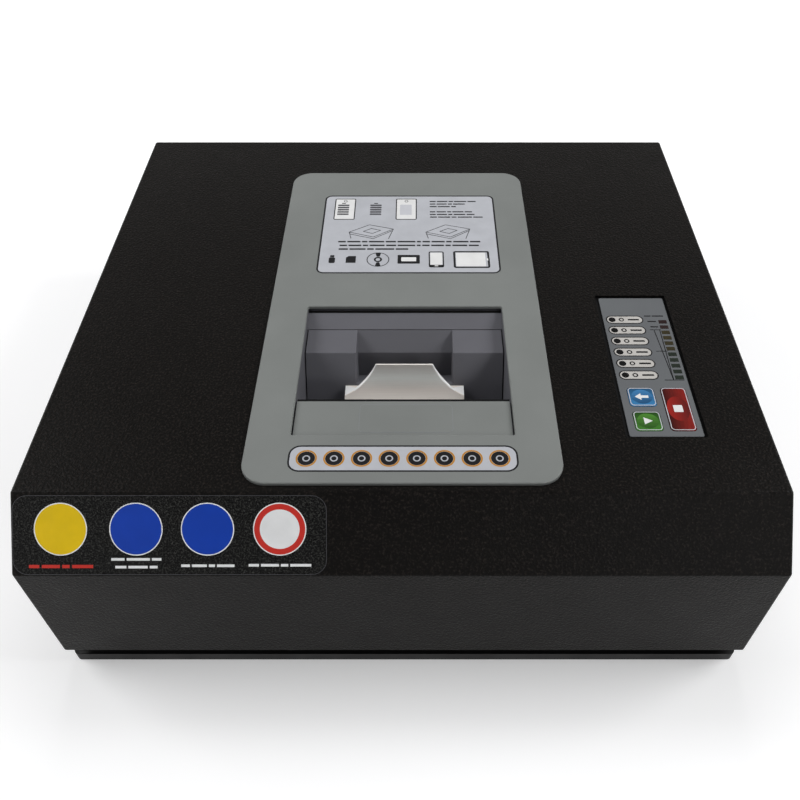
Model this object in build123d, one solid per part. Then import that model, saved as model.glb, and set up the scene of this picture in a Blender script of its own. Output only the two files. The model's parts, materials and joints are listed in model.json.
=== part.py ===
from build123d import *
import math
import os

# Shredder head for flash media: a folded hood over a base pan, a tilting feed lid in a bezel,
# a block of two cutter shafts with its gear drive, and a control panel with three keys.
# Millimetres, +X right, +Y back, +Z up. The origin is on the floor under the middle of the hood.

# Hood, folded from sheet
hood_width = 500.0
hood_depth = 466.0
hood_lower_edge = 21.0
front_wall_height = 105.0
slope_run = 38.0
slope_rise = 38.0
sheet = 1.5
bend_radius = 2.5

# Base pan with its rim, and the holes that fasten it to a stand
pan_side_inset = 3.0
pan_end_inset = 2.5
pan_floor = 3.0
pan_rim_height = 9.0
pan_wall = 3.0
pan_corner = 4.0
pan_ledge = 7.0
pan_sheet = 2.0
upstand_height = 27.0
mount_side_inset = 40.0
mount_end_inset = 33.0
mount_hole_radius = 3.3

# Brackets that carry the hood on the pan, and the screws through its sides
bracket_sheet = 3.0
bracket_foot = 20.0
bracket_length = 30.0
bracket_upright = 20.0
bracket_setback = 60.0
bracket_rim_gap = 0.5
hood_screw_radius = 2.0
hood_screw_head_radius = 4.2
hood_screw_head = 2.0
hood_screw_length = 8.0
hood_screw_edge = 1.0

# Vent slots in the hood's back wall
vent_width = 4.0
vent_height = 44.0
vent_pitch = 10.0
vent_count = 9
vent_side_setback = 85.0
vent_lower_edge = 62.0

# Bezel on the hood, with the window of the feed lid
bezel_width = 210.0
bezel_thickness = 2.5
bezel_corner = 17.0
bezel_edge = 1.0
bezel_setback = 5.0
bezel_back_setback = 61.0
window_width = 151.0
window_depth = 130.9
window_setback = 40.6
window_corner = 1.5

# Sill panel across the front of the window
sill_depth = 34.9
sill_drop = 0.5
sill_thickness = 2.5
sill_side_gap = 1.0

# Hopper walls under the window
hopper_wall = 3.0
hopper_margin = 1.5
lip_run = 16.3
lip_cover = 4.0
lip_recess = 2.0
front_wall_gap = 1.0
rear_wall_setback = 3.8
ledge_gap = 0.3

# Feed lid, turning about an axis along X at the foot of its front face
lid_drop = 7.5
lid_top_depth = 25.4
lid_wall = 2.5
lid_side_gap = 1.0
lid_back_gap = 0.8
lid_rear_wall = 10.5
lid_foot = 3.0
pivot_forward = 24.8
pivot_drop = 40.5
barrel_radius = 7.0
barrel_gap = 1.0
well_width = 73.0
well_slope_run = 12.2
well_slope_drop = 12.5
well_face_run = 5.0
well_depth = 32.5
well_front_drop = 20.5
lid_edge = 0.8

# Pivot pins and safety flap of the lid
pin_radius = 4.0
pin_depth = 13.0
pin_stand = 4.0
pin_clearance = 0.05
flap_thickness = 2.5
flap_angle = 78.0
flap_side_gap = 3.5
flap_tongue = 3.0
flap_tongue_width = 114.0
flap_clearance = 0.05

# Handle on the front face of the lid
handle_width = 90.0
handle_lip_width = 42.2
handle_waist_width = 59.8
handle_waist_rise = 10.4
handle_end_rise = 2.0
handle_seat_start = 25.5
handle_seat_end = 34.0
handle_base = 10.5
handle_foot_reach = 6.6
handle_blade = 2.0
handle_lip_forward = 13.8
handle_lip_rise = 1.0
handle_lip_fall = 0.9
handle_hollow = 3.5
handle_back_hollow = 2.0
handle_edge = 0.5
handle_screw_radius = 2.0
handle_screw_spacing = 40.0
handle_screw_depth = 6.0
handle_screw_head = 2.0
handle_screw_head_radius = 3.4

# Cutter block; the hook of a tooth is given by angles from its tip
disc_radius = 30.0
disc_root_radius = 24.5
disc_thickness = 5.6
disc_side_gap = 0.4
disc_count = 12
disc_teeth = 6
disc_stagger = 20.0
hook_rake = 3.0
hook_land = 7.0
hook_relief = 0.4
hook_back = 34.0
spacer_radius = 13.0
tip_gap = 1.0
shaft_flats = 18.0
journal_radius = 8.5
cutter_setback = 20.2
cutter_floor_gap = 15.0
stack_end = 3.0
end_plate = 8.5
end_plate_margin = 45.0
end_plate_rise = 46.0
bearing_radius = 15.0
running_gap = 0.04
seat_gap = 0.02
tie_rod_radius = 5.0
tie_nut = 7.0
tie_nut_flats = 15.0
tie_rod_reach = 38.0
tie_rod_rise = 17.0
tie_rod_drop = 10.0
hopper_screw_radius = 2.5
hopper_screw_depth = 2.0
comb_bar = 9.0
comb_height = 20.0
comb_finger_height = 12.0
comb_disc_gap = 2.0
comb_side_gap = 0.6
comb_root_gap = 0.8
chute_gap = 4.0

# Gears: two equal gears join the shafts, a pinion drives the large gear; the root is in modules
sync_teeth = 22
drive_teeth = 36
pinion_teeth = 18
gear_width = 12.0
gear_plate_gap = 1.5
gear_backlash = 0.35
pressure_angle = 20.0
tooth_root = 1.25
pinion_direction = 35.0
motor_shaft_radius = 7.0

# Gearbox and motor
gearbox_gap = 3.5
gearbox_bracket = 4.0
gearbox_radius = 36.0
gearbox_length = 34.0
motor_radius = 42.0
motor_side_gap = 28.5
motor_cap_radius = 34.0
motor_cap = 8.0
cradle_rib = 4.0
cradle_inset_share = 0.2
cradle_width = 64.0
shaft_hole_gap = 1.5

# Discharge collar through the pan
discharge_width = 144.0
discharge_overlap = 24.0
collar_sheet = 1.5
collar_height = 11.0
collar_flange = 8.0

# Control panel; the shares are of the cut-out's width or depth
panel_side_setback = 71.75
panel_setback = 119.0
cutout_width = 55.5
cutout_depth = 147.0
overlay_gap = 1.7
overlay_left_gap = 3.2
overlay_thickness = 1.0
tray_flange = 4.0
tray_floor = 3.0
key_stand = 0.5
key_travel = 0.8
key_gap = 0.3
key_flange = 0.9
key_flange_height = 1.2
key_corner = 3.0
key_edge = 0.4
small_key_width_share = 0.338
stop_key_width_share = 0.319
small_key_depth_share = 0.1195
key_row_gap = 5.1
key_front_margin = 5.0
key_left_margin = 5.2
key_right_margin = 3.9
lamp_radius = 2.1
lamp_count = 6
lamp_pitch_share = 0.0816
lamp_left_margin = 6.8
lamp_back_share = 0.1728
bar_count = 11
bar_pitch_share = 0.0407
bar_width_share = 0.11
bar_height_share = 0.0258
bar_right_margin = 2.1
bar_back_share = 0.1895
lens_stand = 0.1
lens_gap = 0.1

# Boards
board_thickness = 1.6
control_board_margin = 2.0
control_board_drop = 8.0
board_standoff_radius = 2.5
switch_side = 6.0
switch_gap = 0.2
power_board_width = 100.0
power_board_depth = 90.0
power_board_side_setback = 90.0
power_board_setback = 43.0
power_standoff_height = 10.0
transformer_width = 50.0
transformer_depth = 42.0
transformer_height = 38.0
transformer_core_depth = 24.0
transformer_leg_width = 7.0

# Run capacitor
capacitor_radius = 20.0
capacitor_height = 76.0
capacitor_x = -60.0
capacitor_setback = 110.0
capacitor_edge = 2.0
terminal_width = 6.3
terminal_thickness = 0.8
terminal_height = 8.0
terminal_pitch = 14.0

# Power entry on the back
entry_side_setback = 90.0
entry_z = 52.0
entry_plate = 2.0
entry_plate_width = 100.0
entry_plate_rise = 30.0
entry_foot = 18.0
entry_cutout_width = 90.0
entry_cutout_height = 40.0
inlet_offset = -20.0
inlet_flange_width = 48.0
inlet_flange_height = 27.0
inlet_flange = 2.5
inlet_body_width = 30.0
inlet_body_height = 22.0
inlet_body_depth = 21.0
socket_width = 25.0
socket_height = 17.0
socket_depth = 16.0
blade_width = 2.0
blade_height = 4.0
blade_length = 9.0
blade_pitch = 7.0
blade_drop = 2.0
rocker_offset = 25.0
rocker_frame_width = 24.0
rocker_frame_height = 30.0
rocker_body_width = 20.0
rocker_body_height = 24.0
rocker_body_depth = 20.0
rocker_radius = 9.0
rocker_width = 15.0
rocker_gap = 0.4
rocker_swing = 20.0
rocker_stand = 1.0

# Interlock switch beside the lid
interlock_length = 20.0
interlock_height = 12.0
interlock_thickness = 7.0
interlock_rise = 10.0
plunger_radius = 2.0
plunger_length = 3.3

# How far a cut runs past a face, and how near counts as the same place
cut_margin = 1.0
same_place = 0.01

# Places worked out from the sizes above
hood_half = hood_width / 2
hood_front = -hood_depth / 2
hood_back = hood_depth / 2
wall_top = hood_lower_edge + front_wall_height
hood_top = wall_top + slope_rise
hood_under = hood_top - sheet
top_front = hood_front + slope_run

pan_half = hood_half - pan_side_inset
pan_front = hood_front + pan_end_inset
pan_back = hood_back - pan_end_inset
mount_x = hood_half - mount_side_inset
mount_y = hood_back - mount_end_inset
vent_x = vent_side_setback - hood_half

bezel_front = top_front + bezel_setback
bezel_back = hood_back - bezel_back_setback
window_front = bezel_front + window_setback
window_back = window_front + window_depth
window_half = window_width / 2
sill_back = window_front + sill_depth
sill_under = hood_top - sill_drop - sill_thickness

lid_half = window_half - lid_side_gap
lid_back = window_back - lip_run
lid_front = lid_back - lid_top_depth
lid_top = hood_top - lid_drop
pivot_y = lid_front - pivot_forward
pivot_z = lid_top - pivot_drop
facet_length = math.hypot(pivot_forward, pivot_drop)
facet_y = -pivot_forward / facet_length
facet_z = -pivot_drop / facet_length

cheek_outer = window_half + hopper_wall
front_wall_back = sill_back - front_wall_gap
front_wall_front = front_wall_back - lid_wall
chute_back = lid_back + rear_wall_setback
lip_end = window_back + lip_cover

disc_pitch = 2 * (disc_thickness + disc_side_gap)
stack_half = disc_count * disc_pitch / 2 + stack_end
shaft_distance = disc_radius + spacer_radius + tip_gap
cutter_z = pan_floor + cutter_floor_gap + disc_radius
cutter_y = lid_back - cutter_setback
rear_axis = cutter_y + shaft_distance / 2
front_axis = cutter_y - shaft_distance / 2
chute_bottom = cutter_z + disc_radius + chute_gap
plate_inner = cheek_outer
plate_outer = plate_inner + end_plate
plate_front = front_axis - end_plate_margin
plate_back = rear_axis + end_plate_margin
plate_top = cutter_z + end_plate_rise

module = shaft_distance / sync_teeth
pinion_distance = module * (drive_teeth + pinion_teeth) / 2
pinion_y = rear_axis + pinion_distance * math.cos(math.radians(pinion_direction))
pinion_z = cutter_z + pinion_distance * math.sin(math.radians(pinion_direction))
gear_start = plate_outer + gear_plate_gap
gear_end = gear_start + gear_width
bracket_face = gear_end + gearbox_gap
gearbox_start = bracket_face + gearbox_bracket
motor_start = gearbox_start + gearbox_length
motor_end = hood_half - sheet - motor_side_gap - motor_cap
cradle_inset = cradle_inset_share * (motor_end - motor_start)

panel_x = hood_half - panel_side_setback
panel_y = top_front + panel_setback
overlay_left = panel_x - cutout_width / 2 + overlay_left_gap
overlay_right = panel_x + cutout_width / 2 - overlay_gap
overlay_depth = cutout_depth - 2 * overlay_gap
overlay_front = panel_y - overlay_depth / 2
overlay_back = panel_y + overlay_depth / 2
small_key_width = small_key_width_share * cutout_width
small_key_depth = small_key_depth_share * cutout_depth
stop_key_width = stop_key_width_share * cutout_width
stop_key_depth = 2 * small_key_depth + key_row_gap
bar_width = bar_width_share * cutout_width
bar_height = bar_height_share * cutout_depth
tray_top = hood_under
overlay_under = tray_top - overlay_thickness
tray_under = overlay_under - tray_floor
key_under = tray_under - key_gap - key_flange_height
board_top = tray_under - control_board_drop
entry_face = pan_back - pan_ledge
entry_x = hood_half - entry_side_setback
power_board_x = hood_half - power_board_side_setback


def block(x_from, x_to, y_from, y_to, z_from, z_to):
    """A box between two corners."""
    size = Box(x_to - x_from, y_to - y_from, z_to - z_from)
    return Pos((x_from + x_to) / 2, (y_from + y_to) / 2, (z_from + z_to) / 2) * size


def prism_x(points, x_from, x_to):
    """An outline of (y, z) points, drawn out along X."""
    plane = Plane(origin=(x_from, 0, 0), x_dir=(0, 1, 0), z_dir=(1, 0, 0))
    return extrude(plane * make_face(Polyline(*points, close=True)), amount=x_to - x_from)


def rod_x(radius, x_from, x_to, y, z):
    """A round bar along X."""
    return Pos((x_from + x_to) / 2, y, z) * Rot(0, 90, 0) * Cylinder(radius, x_to - x_from)


def rod_z(radius, x, y, z_from, z_to):
    """A round bar along Z."""
    return Pos(x, y, (z_from + z_to) / 2) * Cylinder(radius, z_to - z_from)


def plate_z(width, depth, corner, x, y, z_from, z_to):
    """A level plate with round corners."""
    return extrude(Pos(x, y, z_from) * RectangleRounded(width, depth, corner), amount=z_to - z_from)


def mirrored(shape):
    """The same piece on the other side of the middle plane."""
    return mirror(shape, about=Plane.YZ)


def facet_point(along, out=0.0):
    """A point (y, z) on the lid's front face: so far down from its top edge, so far out of it."""
    return (lid_front + along * facet_y + out * facet_z, lid_top + along * facet_z - out * facet_y)


def polar(y, z, radius, angle):
    """A point (y, z) at a radius and an angle from +Y about a centre."""
    return (y + radius * math.cos(angle), z + radius * math.sin(angle))


def gear(teeth, phase_deg, x_from, x_to, y, z, bore):
    """A spur gear about X, with a tooth at the given angle from +Y."""
    pitch_radius = module * teeth / 2
    base_radius = pitch_radius * math.cos(math.radians(pressure_angle))
    root_radius = pitch_radius - tooth_root * module
    tip_radius = pitch_radius + module

    def involute(radius):
        angle = math.acos(min(1.0, base_radius / radius))
        return math.tan(angle) - angle

    half_at_pitch = math.pi / (2 * teeth) - gear_backlash / (2 * pitch_radius)
    flank = []
    for radius in (root_radius, pitch_radius, tip_radius):
        half = half_at_pitch + involute(pitch_radius) - involute(max(radius, base_radius))
        flank.append((radius, half))
    points = []
    for tooth in range(teeth):
        middle = math.radians(phase_deg) + 2 * math.pi * tooth / teeth
        for radius, half in flank:
            points.append(polar(y, z, radius, middle - half))
        for radius, half in reversed(flank):
            points.append(polar(y, z, radius, middle + half))
    return prism_x(points, x_from, x_to) - rod_x(bore, x_from, x_to, y, z)


def hex_bar(flats, x_from, x_to, y, z):
    """A hexagonal bar along X."""
    corner = flats / math.sqrt(3)
    points = []
    for side in range(6):
        points.append(polar(y, z, corner, math.radians(60 * side)))
    return prism_x(points, x_from, x_to)


def cutter_disc(x_from, y, phase_deg, turn):
    """A disc with hooked teeth; turn is +1 or -1, the way the hooks point."""
    hook = ((disc_root_radius, -hook_rake), (disc_radius, 0.0),
            (disc_radius - hook_relief, hook_land), (disc_root_radius, hook_back))
    points = []
    for tooth in range(disc_teeth):
        start = phase_deg + 360.0 * tooth / disc_teeth
        for radius, lag in hook:
            points.append(polar(y, cutter_z, radius, math.radians(turn * (start + lag))))
    disc = prism_x(points, x_from, x_from + disc_thickness)
    return disc - hex_bar(shaft_flats, x_from, x_from + disc_thickness, y, cutter_z)


def cutter_stack(y, offset, turn):
    """The discs on one shaft and the spacers between them."""
    discs = []
    spacers = []
    edge = -stack_half
    for place in range(disc_count):
        start = -disc_count * disc_pitch / 2 + place * disc_pitch + offset
        discs.append(cutter_disc(start, y, place * disc_stagger, turn))
        spacers.append((edge, start))
        edge = start + disc_thickness
    spacers.append((edge, stack_half))
    rings = []
    for begin, end in spacers:
        ring = rod_x(spacer_radius, begin, end, y, cutter_z)
        rings.append(ring - hex_bar(shaft_flats, begin, end, y, cutter_z))
    return discs, rings, spacers


def cutter_shaft(y, x_from, x_to):
    """A hexagonal shaft with round journals at both ends."""
    middle = hex_bar(shaft_flats, -stack_half, stack_half, y, cutter_z)
    left = rod_x(journal_radius, x_from, -stack_half, y, cutter_z)
    right = rod_x(journal_radius, stack_half, x_to, y, cutter_z)
    return middle + left + right


def cleaning_comb(y, side, gaps):
    """A bar with a finger in each gap between the discs; side is -1 in front, +1 behind."""
    near = y + side * (disc_radius + comb_disc_gap)
    far = near + side * comb_bar
    low = cutter_z - comb_height / 2
    comb = block(-plate_inner, plate_inner, min(near, far), max(near, far), low, low + comb_height)
    finger_low = cutter_z - comb_finger_height / 2
    for begin, end in gaps:
        comb += block(begin + comb_side_gap, end - comb_side_gap, min(y, near), max(y, near),
                      finger_low, finger_low + comb_finger_height)
    return comb - rod_x(spacer_radius + comb_root_gap, -stack_half, stack_half, y, cutter_z)


def make_hood():
    """The hood: an open box of sheet with a sloped front edge, its openings cut out."""
    profile = [(hood_front, hood_lower_edge), (hood_front, wall_top), (top_front, hood_top),
               (hood_back, hood_top), (hood_back, hood_lower_edge)]
    outer = prism_x(profile, -hood_half, hood_half)
    bends = outer.edges().filter_by(lambda edge: edge.center().Z > hood_lower_edge + same_place)
    outer = fillet(bends, bend_radius)
    slope_angle = math.atan2(slope_rise, slope_run)
    inner_wall_top = wall_top - sheet * math.tan(slope_angle / 2)
    inner_top_front = top_front + sheet * math.tan(slope_angle / 2)
    hollow = [(hood_front + sheet, 0), (hood_front + sheet, inner_wall_top), (inner_top_front, hood_under),
              (hood_back - sheet, hood_under), (hood_back - sheet, 0)]
    hood = outer - prism_x(hollow, -hood_half + sheet, hood_half - sheet)
    hole_half = cheek_outer + hopper_margin
    hood -= block(-hole_half, hole_half, window_front - hopper_margin - sill_drop, lip_end + hopper_margin,
                  hood_under - cut_margin, hood_top + cut_margin)
    hood -= plate_z(cutout_width, cutout_depth, sheet, panel_x, panel_y,
                    hood_under - cut_margin, hood_top + cut_margin)
    hood -= back_cut(entry_x, entry_cutout_width, entry_z - entry_cutout_height / 2, entry_cutout_height)
    for place in range(vent_count):
        x = vent_x + (place - (vent_count - 1) / 2) * vent_pitch
        hood -= back_cut(x, vent_width, vent_lower_edge, vent_height)
    reach = hood_half + cut_margin
    for y in bracket_places():
        hood -= rod_x(hood_screw_radius + seat_gap, -reach, reach, y, hood_screw_z())
    return hood


def back_cut(x, width, low, height):
    """An upright oblong through the hood's back wall."""
    return block(x - width / 2, x + width / 2, hood_back - 2 * sheet, hood_back + cut_margin,
                 low, low + height)


def bracket_places():
    """Where the hood brackets stand, front and back."""
    return (hood_front + bracket_setback, hood_back - bracket_setback)


def hood_screw_z():
    """The height of the screws through the hood's sides."""
    return upstand_height + bracket_rim_gap + (bracket_upright + bracket_sheet) / 2


def make_hood_brackets():
    """Four bent brackets: foot on the pan, over the upstand, and up inside the hood's side."""
    inner = pan_half - pan_ledge
    side = hood_half - sheet
    step = upstand_height + bracket_rim_gap
    top = step + bracket_upright
    foot = inner - bracket_foot
    outer_side = [(foot, pan_floor), (inner, pan_floor), (inner, step), (side, step), (side, top)]
    inner_side = [(side - bracket_sheet, top), (side - bracket_sheet, step + bracket_sheet),
                  (inner - bracket_sheet, step + bracket_sheet),
                  (inner - bracket_sheet, pan_floor + bracket_sheet), (foot, pan_floor + bracket_sheet)]
    brackets = []
    for y in bracket_places():
        plane = Plane(origin=(0, y + bracket_length / 2, 0), x_dir=(1, 0, 0), z_dir=(0, -1, 0))
        outline = make_face(Polyline(*outer_side, *inner_side, close=True))
        bracket = extrude(plane * outline, amount=bracket_length)
        bracket -= rod_x(hood_screw_radius + seat_gap, 0, hood_half, y, hood_screw_z())
        brackets += [bracket, mirrored(bracket)]
    return brackets


def make_hood_screws():
    """Four screws with low round heads, from the hood's sides into the brackets."""
    screws = []
    for y in bracket_places():
        shank = rod_x(hood_screw_radius, hood_half - hood_screw_length, hood_half, y, hood_screw_z())
        head = rod_x(hood_screw_head_radius, hood_half, hood_half + hood_screw_head, y, hood_screw_z())
        head = chamfer(head.edges().sort_by(Axis.X)[-1], hood_screw_edge)
        screws += [shank + head, mirrored(shank + head)]
    return screws


def make_base_pan():
    """The pan: floor, rim with a ledge and an upstand, discharge opening and fastening holes."""
    depth = pan_back - pan_front
    middle = (pan_front + pan_back) / 2
    ledge = pan_rim_height - pan_sheet
    pan = plate_z(2 * pan_half, depth, pan_corner, 0, middle, 0, pan_rim_height)
    pan -= pan_inside(pan_wall, pan_floor, ledge)
    pan -= pan_inside(pan_ledge, pan_floor, pan_rim_height + cut_margin)
    pan += pan_inside(pan_ledge - pan_sheet, ledge, upstand_height)
    pan -= pan_inside(pan_ledge, ledge, upstand_height + cut_margin)
    pan -= discharge_void(pan_floor)
    for x in (-mount_x, mount_x):
        for y in (-mount_y, mount_y):
            pan -= rod_z(mount_hole_radius, x, y, -cut_margin, pan_floor + cut_margin)
    return pan


def pan_inside(inset, z_from, z_to):
    """A block that fills the pan's outline, set in from its edges."""
    return block(-pan_half + inset, pan_half - inset, pan_front + inset, pan_back - inset, z_from, z_to)


def discharge_void(top):
    """The clear space of the discharge opening."""
    half = discharge_width / 2
    front = front_axis - discharge_overlap
    back = rear_axis + discharge_overlap
    return block(-half, half, front, back, -cut_margin, top + cut_margin)


def make_discharge_collar():
    """A sheet collar that stands round the discharge opening, with feet in front and behind."""
    half = discharge_width / 2 + collar_sheet
    front = front_axis - discharge_overlap - collar_sheet
    back = rear_axis + discharge_overlap + collar_sheet
    collar = block(-half, half, front, back, pan_floor, pan_floor + collar_height)
    collar += block(-half, half, front - collar_flange, back + collar_flange,
                    pan_floor, pan_floor + collar_sheet)
    return collar - discharge_void(pan_floor + collar_height)


def make_bezel():
    """The plate on the hood, with the window and softened upper edges."""
    face = hood_top + bezel_thickness
    bezel = plate_z(bezel_width, bezel_back - bezel_front, bezel_corner, 0, (bezel_front + bezel_back) / 2,
                    hood_top, face)
    bezel -= plate_z(window_width, window_depth, window_corner, 0, (window_front + window_back) / 2,
                     hood_top - cut_margin, face + cut_margin)
    return fillet(bezel.edges().group_by(Axis.Z)[-1], bezel_edge)


def make_sill_panel():
    """The fixed panel across the front of the window."""
    half = window_half - sill_side_gap
    return block(-half, half, window_front - sill_drop, sill_back, sill_under, sill_under + sill_thickness)


def make_hopper_front_wall():
    """Shelf under the sill, wall in front of the handle, floor under it and apron before the cutters."""
    apron = pivot_y - barrel_radius - barrel_gap
    floor = pivot_z - lid_wall
    shelf_front = window_front - sill_drop
    lid_side = [(shelf_front, sill_under), (front_wall_back, sill_under), (front_wall_back, pivot_z),
                (apron, pivot_z), (apron, chute_bottom)]
    hood_side = [(apron - lid_wall, chute_bottom), (apron - lid_wall, floor), (front_wall_front, floor),
                 (front_wall_front, sill_under - lid_wall), (shelf_front, sill_under - lid_wall)]
    return prism_x(lid_side + hood_side, -window_half, window_half)


def make_hopper_rear_wall():
    """Sloped lip behind the lid, a groove under the bezel, the lid's ledge and the chute's back wall."""
    lip_front = lid_back + lid_back_gap
    lip_top = hood_top - lip_recess
    groove = window_back + lip_cover / 2
    ledge = lid_top - lid_rear_wall - ledge_gap
    ledge_front = lid_back - lid_foot / 2
    back = chute_back + hopper_wall
    lip_slope = (lip_top - lid_top) / (window_back - lip_front)
    under = lid_top + lip_slope * (back - lip_front) - hopper_wall * math.hypot(1, lip_slope)
    upper_side = [(lip_front, lid_top), (window_back, lip_top), (groove, lip_top), (groove, hood_top),
                  (lip_end, hood_top)]
    back_side = [(lip_end, lip_top - hopper_wall), (back, under), (back, chute_bottom)]
    chute_side = [(chute_back, chute_bottom), (chute_back, ledge - hopper_wall),
                  (ledge_front, ledge - hopper_wall), (ledge_front, ledge), (chute_back, ledge),
                  (chute_back, lid_top - hopper_wall), (lip_front, lid_top - hopper_wall)]
    return prism_x(upper_side + back_side + chute_side, -window_half, window_half)


def make_hopper_cheek():
    """The right side wall of the hopper, with the bore of the lid's pivot pin."""
    cheek = block(window_half, cheek_outer, front_wall_front, lip_end, chute_bottom, hood_top)
    outside = cheek_outer + cut_margin
    cheek -= rod_x(pin_radius + pin_clearance, window_half - cut_margin, outside, pivot_y, pivot_z)
    for y, z in hopper_screw_places():
        cheek -= rod_x(hopper_screw_radius + seat_gap, cheek_outer - hopper_screw_depth, outside, y, z)
    return cheek


def hopper_screw_places():
    """Where the screws from the end plates hold the hopper cheeks."""
    height = (chute_bottom + plate_top) / 2
    return ((front_axis - disc_radius, height), (rear_axis + hopper_screw_radius, height))


def make_lid_shell():
    """The lid: a hollow shell with a finger well, on a barrel that turns about the pivot."""
    foot = lid_top - lid_rear_wall
    outer = [(lid_back, lid_top), (lid_front, lid_top), (pivot_y, pivot_z),
             (lid_back - lid_foot, foot), (lid_back, foot)]
    inner_front = lid_front + lid_wall * (1 + facet_y) / -facet_z
    beyond = facet_point(facet_length + barrel_radius, -lid_wall)
    hollow = [(lid_back - lid_wall, lid_top - lid_wall), (inner_front, lid_top - lid_wall), beyond,
              (lid_back - lid_wall, pivot_z - barrel_radius)]
    shell = prism_x(outer, -lid_half, lid_half)
    shell -= prism_x(hollow, -lid_half + lid_wall, lid_half - lid_wall)

    slope_foot = (lid_back - well_slope_run, lid_top - well_slope_drop)
    well_floor = lid_top - well_depth
    floor_back = (slope_foot[0] - well_face_run, well_floor)
    floor_front = facet_point((well_depth + lid_wall * facet_y) / -facet_z, -lid_wall)
    lip_front = facet_point((well_front_drop + lid_wall * facet_y) / -facet_z, -lid_wall)
    above = lid_top + well_depth
    well = [(lid_back, above), (lid_back, lid_top), slope_foot, floor_back, floor_front, lip_front,
            (pivot_y, lip_front[1]), (pivot_y, above)]
    well_half = well_width / 2
    plane = Plane(origin=(-well_half - lid_wall, 0, 0), x_dir=(0, 1, 0), z_dir=(1, 0, 0))
    swollen = offset(make_face(Polyline(*well, close=True)), lid_wall, kind=Kind.INTERSECTION)
    liner = extrude(plane * swollen, amount=well_width + 2 * lid_wall)
    bound = [(lid_back, lid_top), (lid_front, lid_top), facet_point(facet_length + barrel_radius),
             (lid_back, pivot_z - barrel_radius)]
    shell += liner & prism_x(bound, -lid_half, lid_half)
    shell += rod_x(barrel_radius, -lid_half, lid_half, pivot_y, pivot_z)
    shell -= prism_x(well, -well_half, well_half)
    shell = fillet(lid_soft_edges(shell, lip_front[1]), lid_edge)

    for x in (-lid_half, lid_half - pin_depth):
        shell -= rod_x(pin_radius + seat_gap, x, x + pin_depth, pivot_y, pivot_z)
    shell -= flap_outline(flap_clearance, flap_tongue_width / 2 + flap_clearance, 0,
                          barrel_radius + cut_margin)
    return shell - handle_screw_holes()


def lid_soft_edges(shell, lowest):
    """The upper edges of the two blocks beside the well."""
    edges = []
    for edge in shell.edges():
        place = edge.center()
        at_well = abs(abs(place.X) - well_width / 2) < same_place
        before_back = place.Y < lid_back - lid_edge
        above_lip = place.Z > lowest + lid_edge
        on_face = abs((place.Y - lid_front) * facet_z - (place.Z - lid_top) * facet_y) < same_place
        on_top = abs(place.Z - lid_top) < same_place
        front_edge = on_top and abs(place.Y - lid_front) < same_place
        if front_edge or at_well and before_back and above_lip and (on_face or on_top):
            edges.append(edge)
    return edges


def flap_outline(grow, half, start, end):
    """A thin board that points from the pivot axis towards the cutters, between two radii."""
    angle = math.radians(-flap_angle)
    along_y = math.cos(angle)
    along_z = math.sin(angle)
    side = flap_thickness / 2 + grow
    first = barrel_radius - flap_tongue - grow if start == 0 else start
    points = []
    for reach, out in ((first, side), (end, side), (end, -side), (first, -side)):
        y = pivot_y + reach * along_y - out * along_z
        z = pivot_z + reach * along_z + out * along_y
        points.append((y, z))
    return prism_x(points, -half, half)


def make_safety_flap():
    """The flap under the lid's barrel, held by a tongue in the barrel."""
    length = (pivot_z - chute_bottom) / math.sin(math.radians(flap_angle))
    flap = flap_outline(0, lid_half - flap_side_gap, barrel_radius + flap_clearance, length)
    return flap + flap_outline(0, flap_tongue_width / 2, 0, length)


def make_lid_pivot_pins():
    """Two pins, fixed in the barrel and turning in the cheeks."""
    pin = rod_x(pin_radius, lid_half - pin_depth, cheek_outer + pin_stand, pivot_y, pivot_z)
    return [pin, mirrored(pin)]


def handle_screw_holes():
    """The holes of the handle's screws, through the lid and into the handle."""
    holes = handle_screw_shank(handle_screw_radius + seat_gap, -lid_wall - cut_margin, handle_screw_depth)
    return holes + mirrored(holes)


def handle_screw_shank(radius, out_from, out_to):
    """A round bar square to the lid's front face, between the well's front edge and the handle's foot."""
    middle = (well_front_drop / -facet_z + handle_seat_end) / 2
    y, z = facet_point(middle, (out_from + out_to) / 2)
    tilt = math.degrees(math.atan2(facet_z, -facet_y))
    return Pos(handle_screw_spacing / 2, y, z) * Rot(-tilt, 0, 0) * Cylinder(radius, out_to - out_from)


def make_handle_screws():
    """Two screws that hold the handle, their heads inside the lid."""
    screw = handle_screw_shank(handle_screw_radius, -lid_wall, handle_screw_depth)
    screw += handle_screw_shank(handle_screw_head_radius, -lid_wall - handle_screw_head, -lid_wall)
    return [screw, mirrored(screw)]


def hollow_arc(start, end, depth):
    """An arc between two (y, z) points that sinks towards the lid by a depth at its middle."""
    along_y = end[0] - start[0]
    along_z = end[1] - start[1]
    chord = math.hypot(along_y, along_z)
    middle = ((start[0] + end[0]) / 2 + depth * along_z / chord,
              (start[1] + end[1]) / 2 - depth * along_y / chord)
    return ThreePointArc(start, middle, end)


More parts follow.
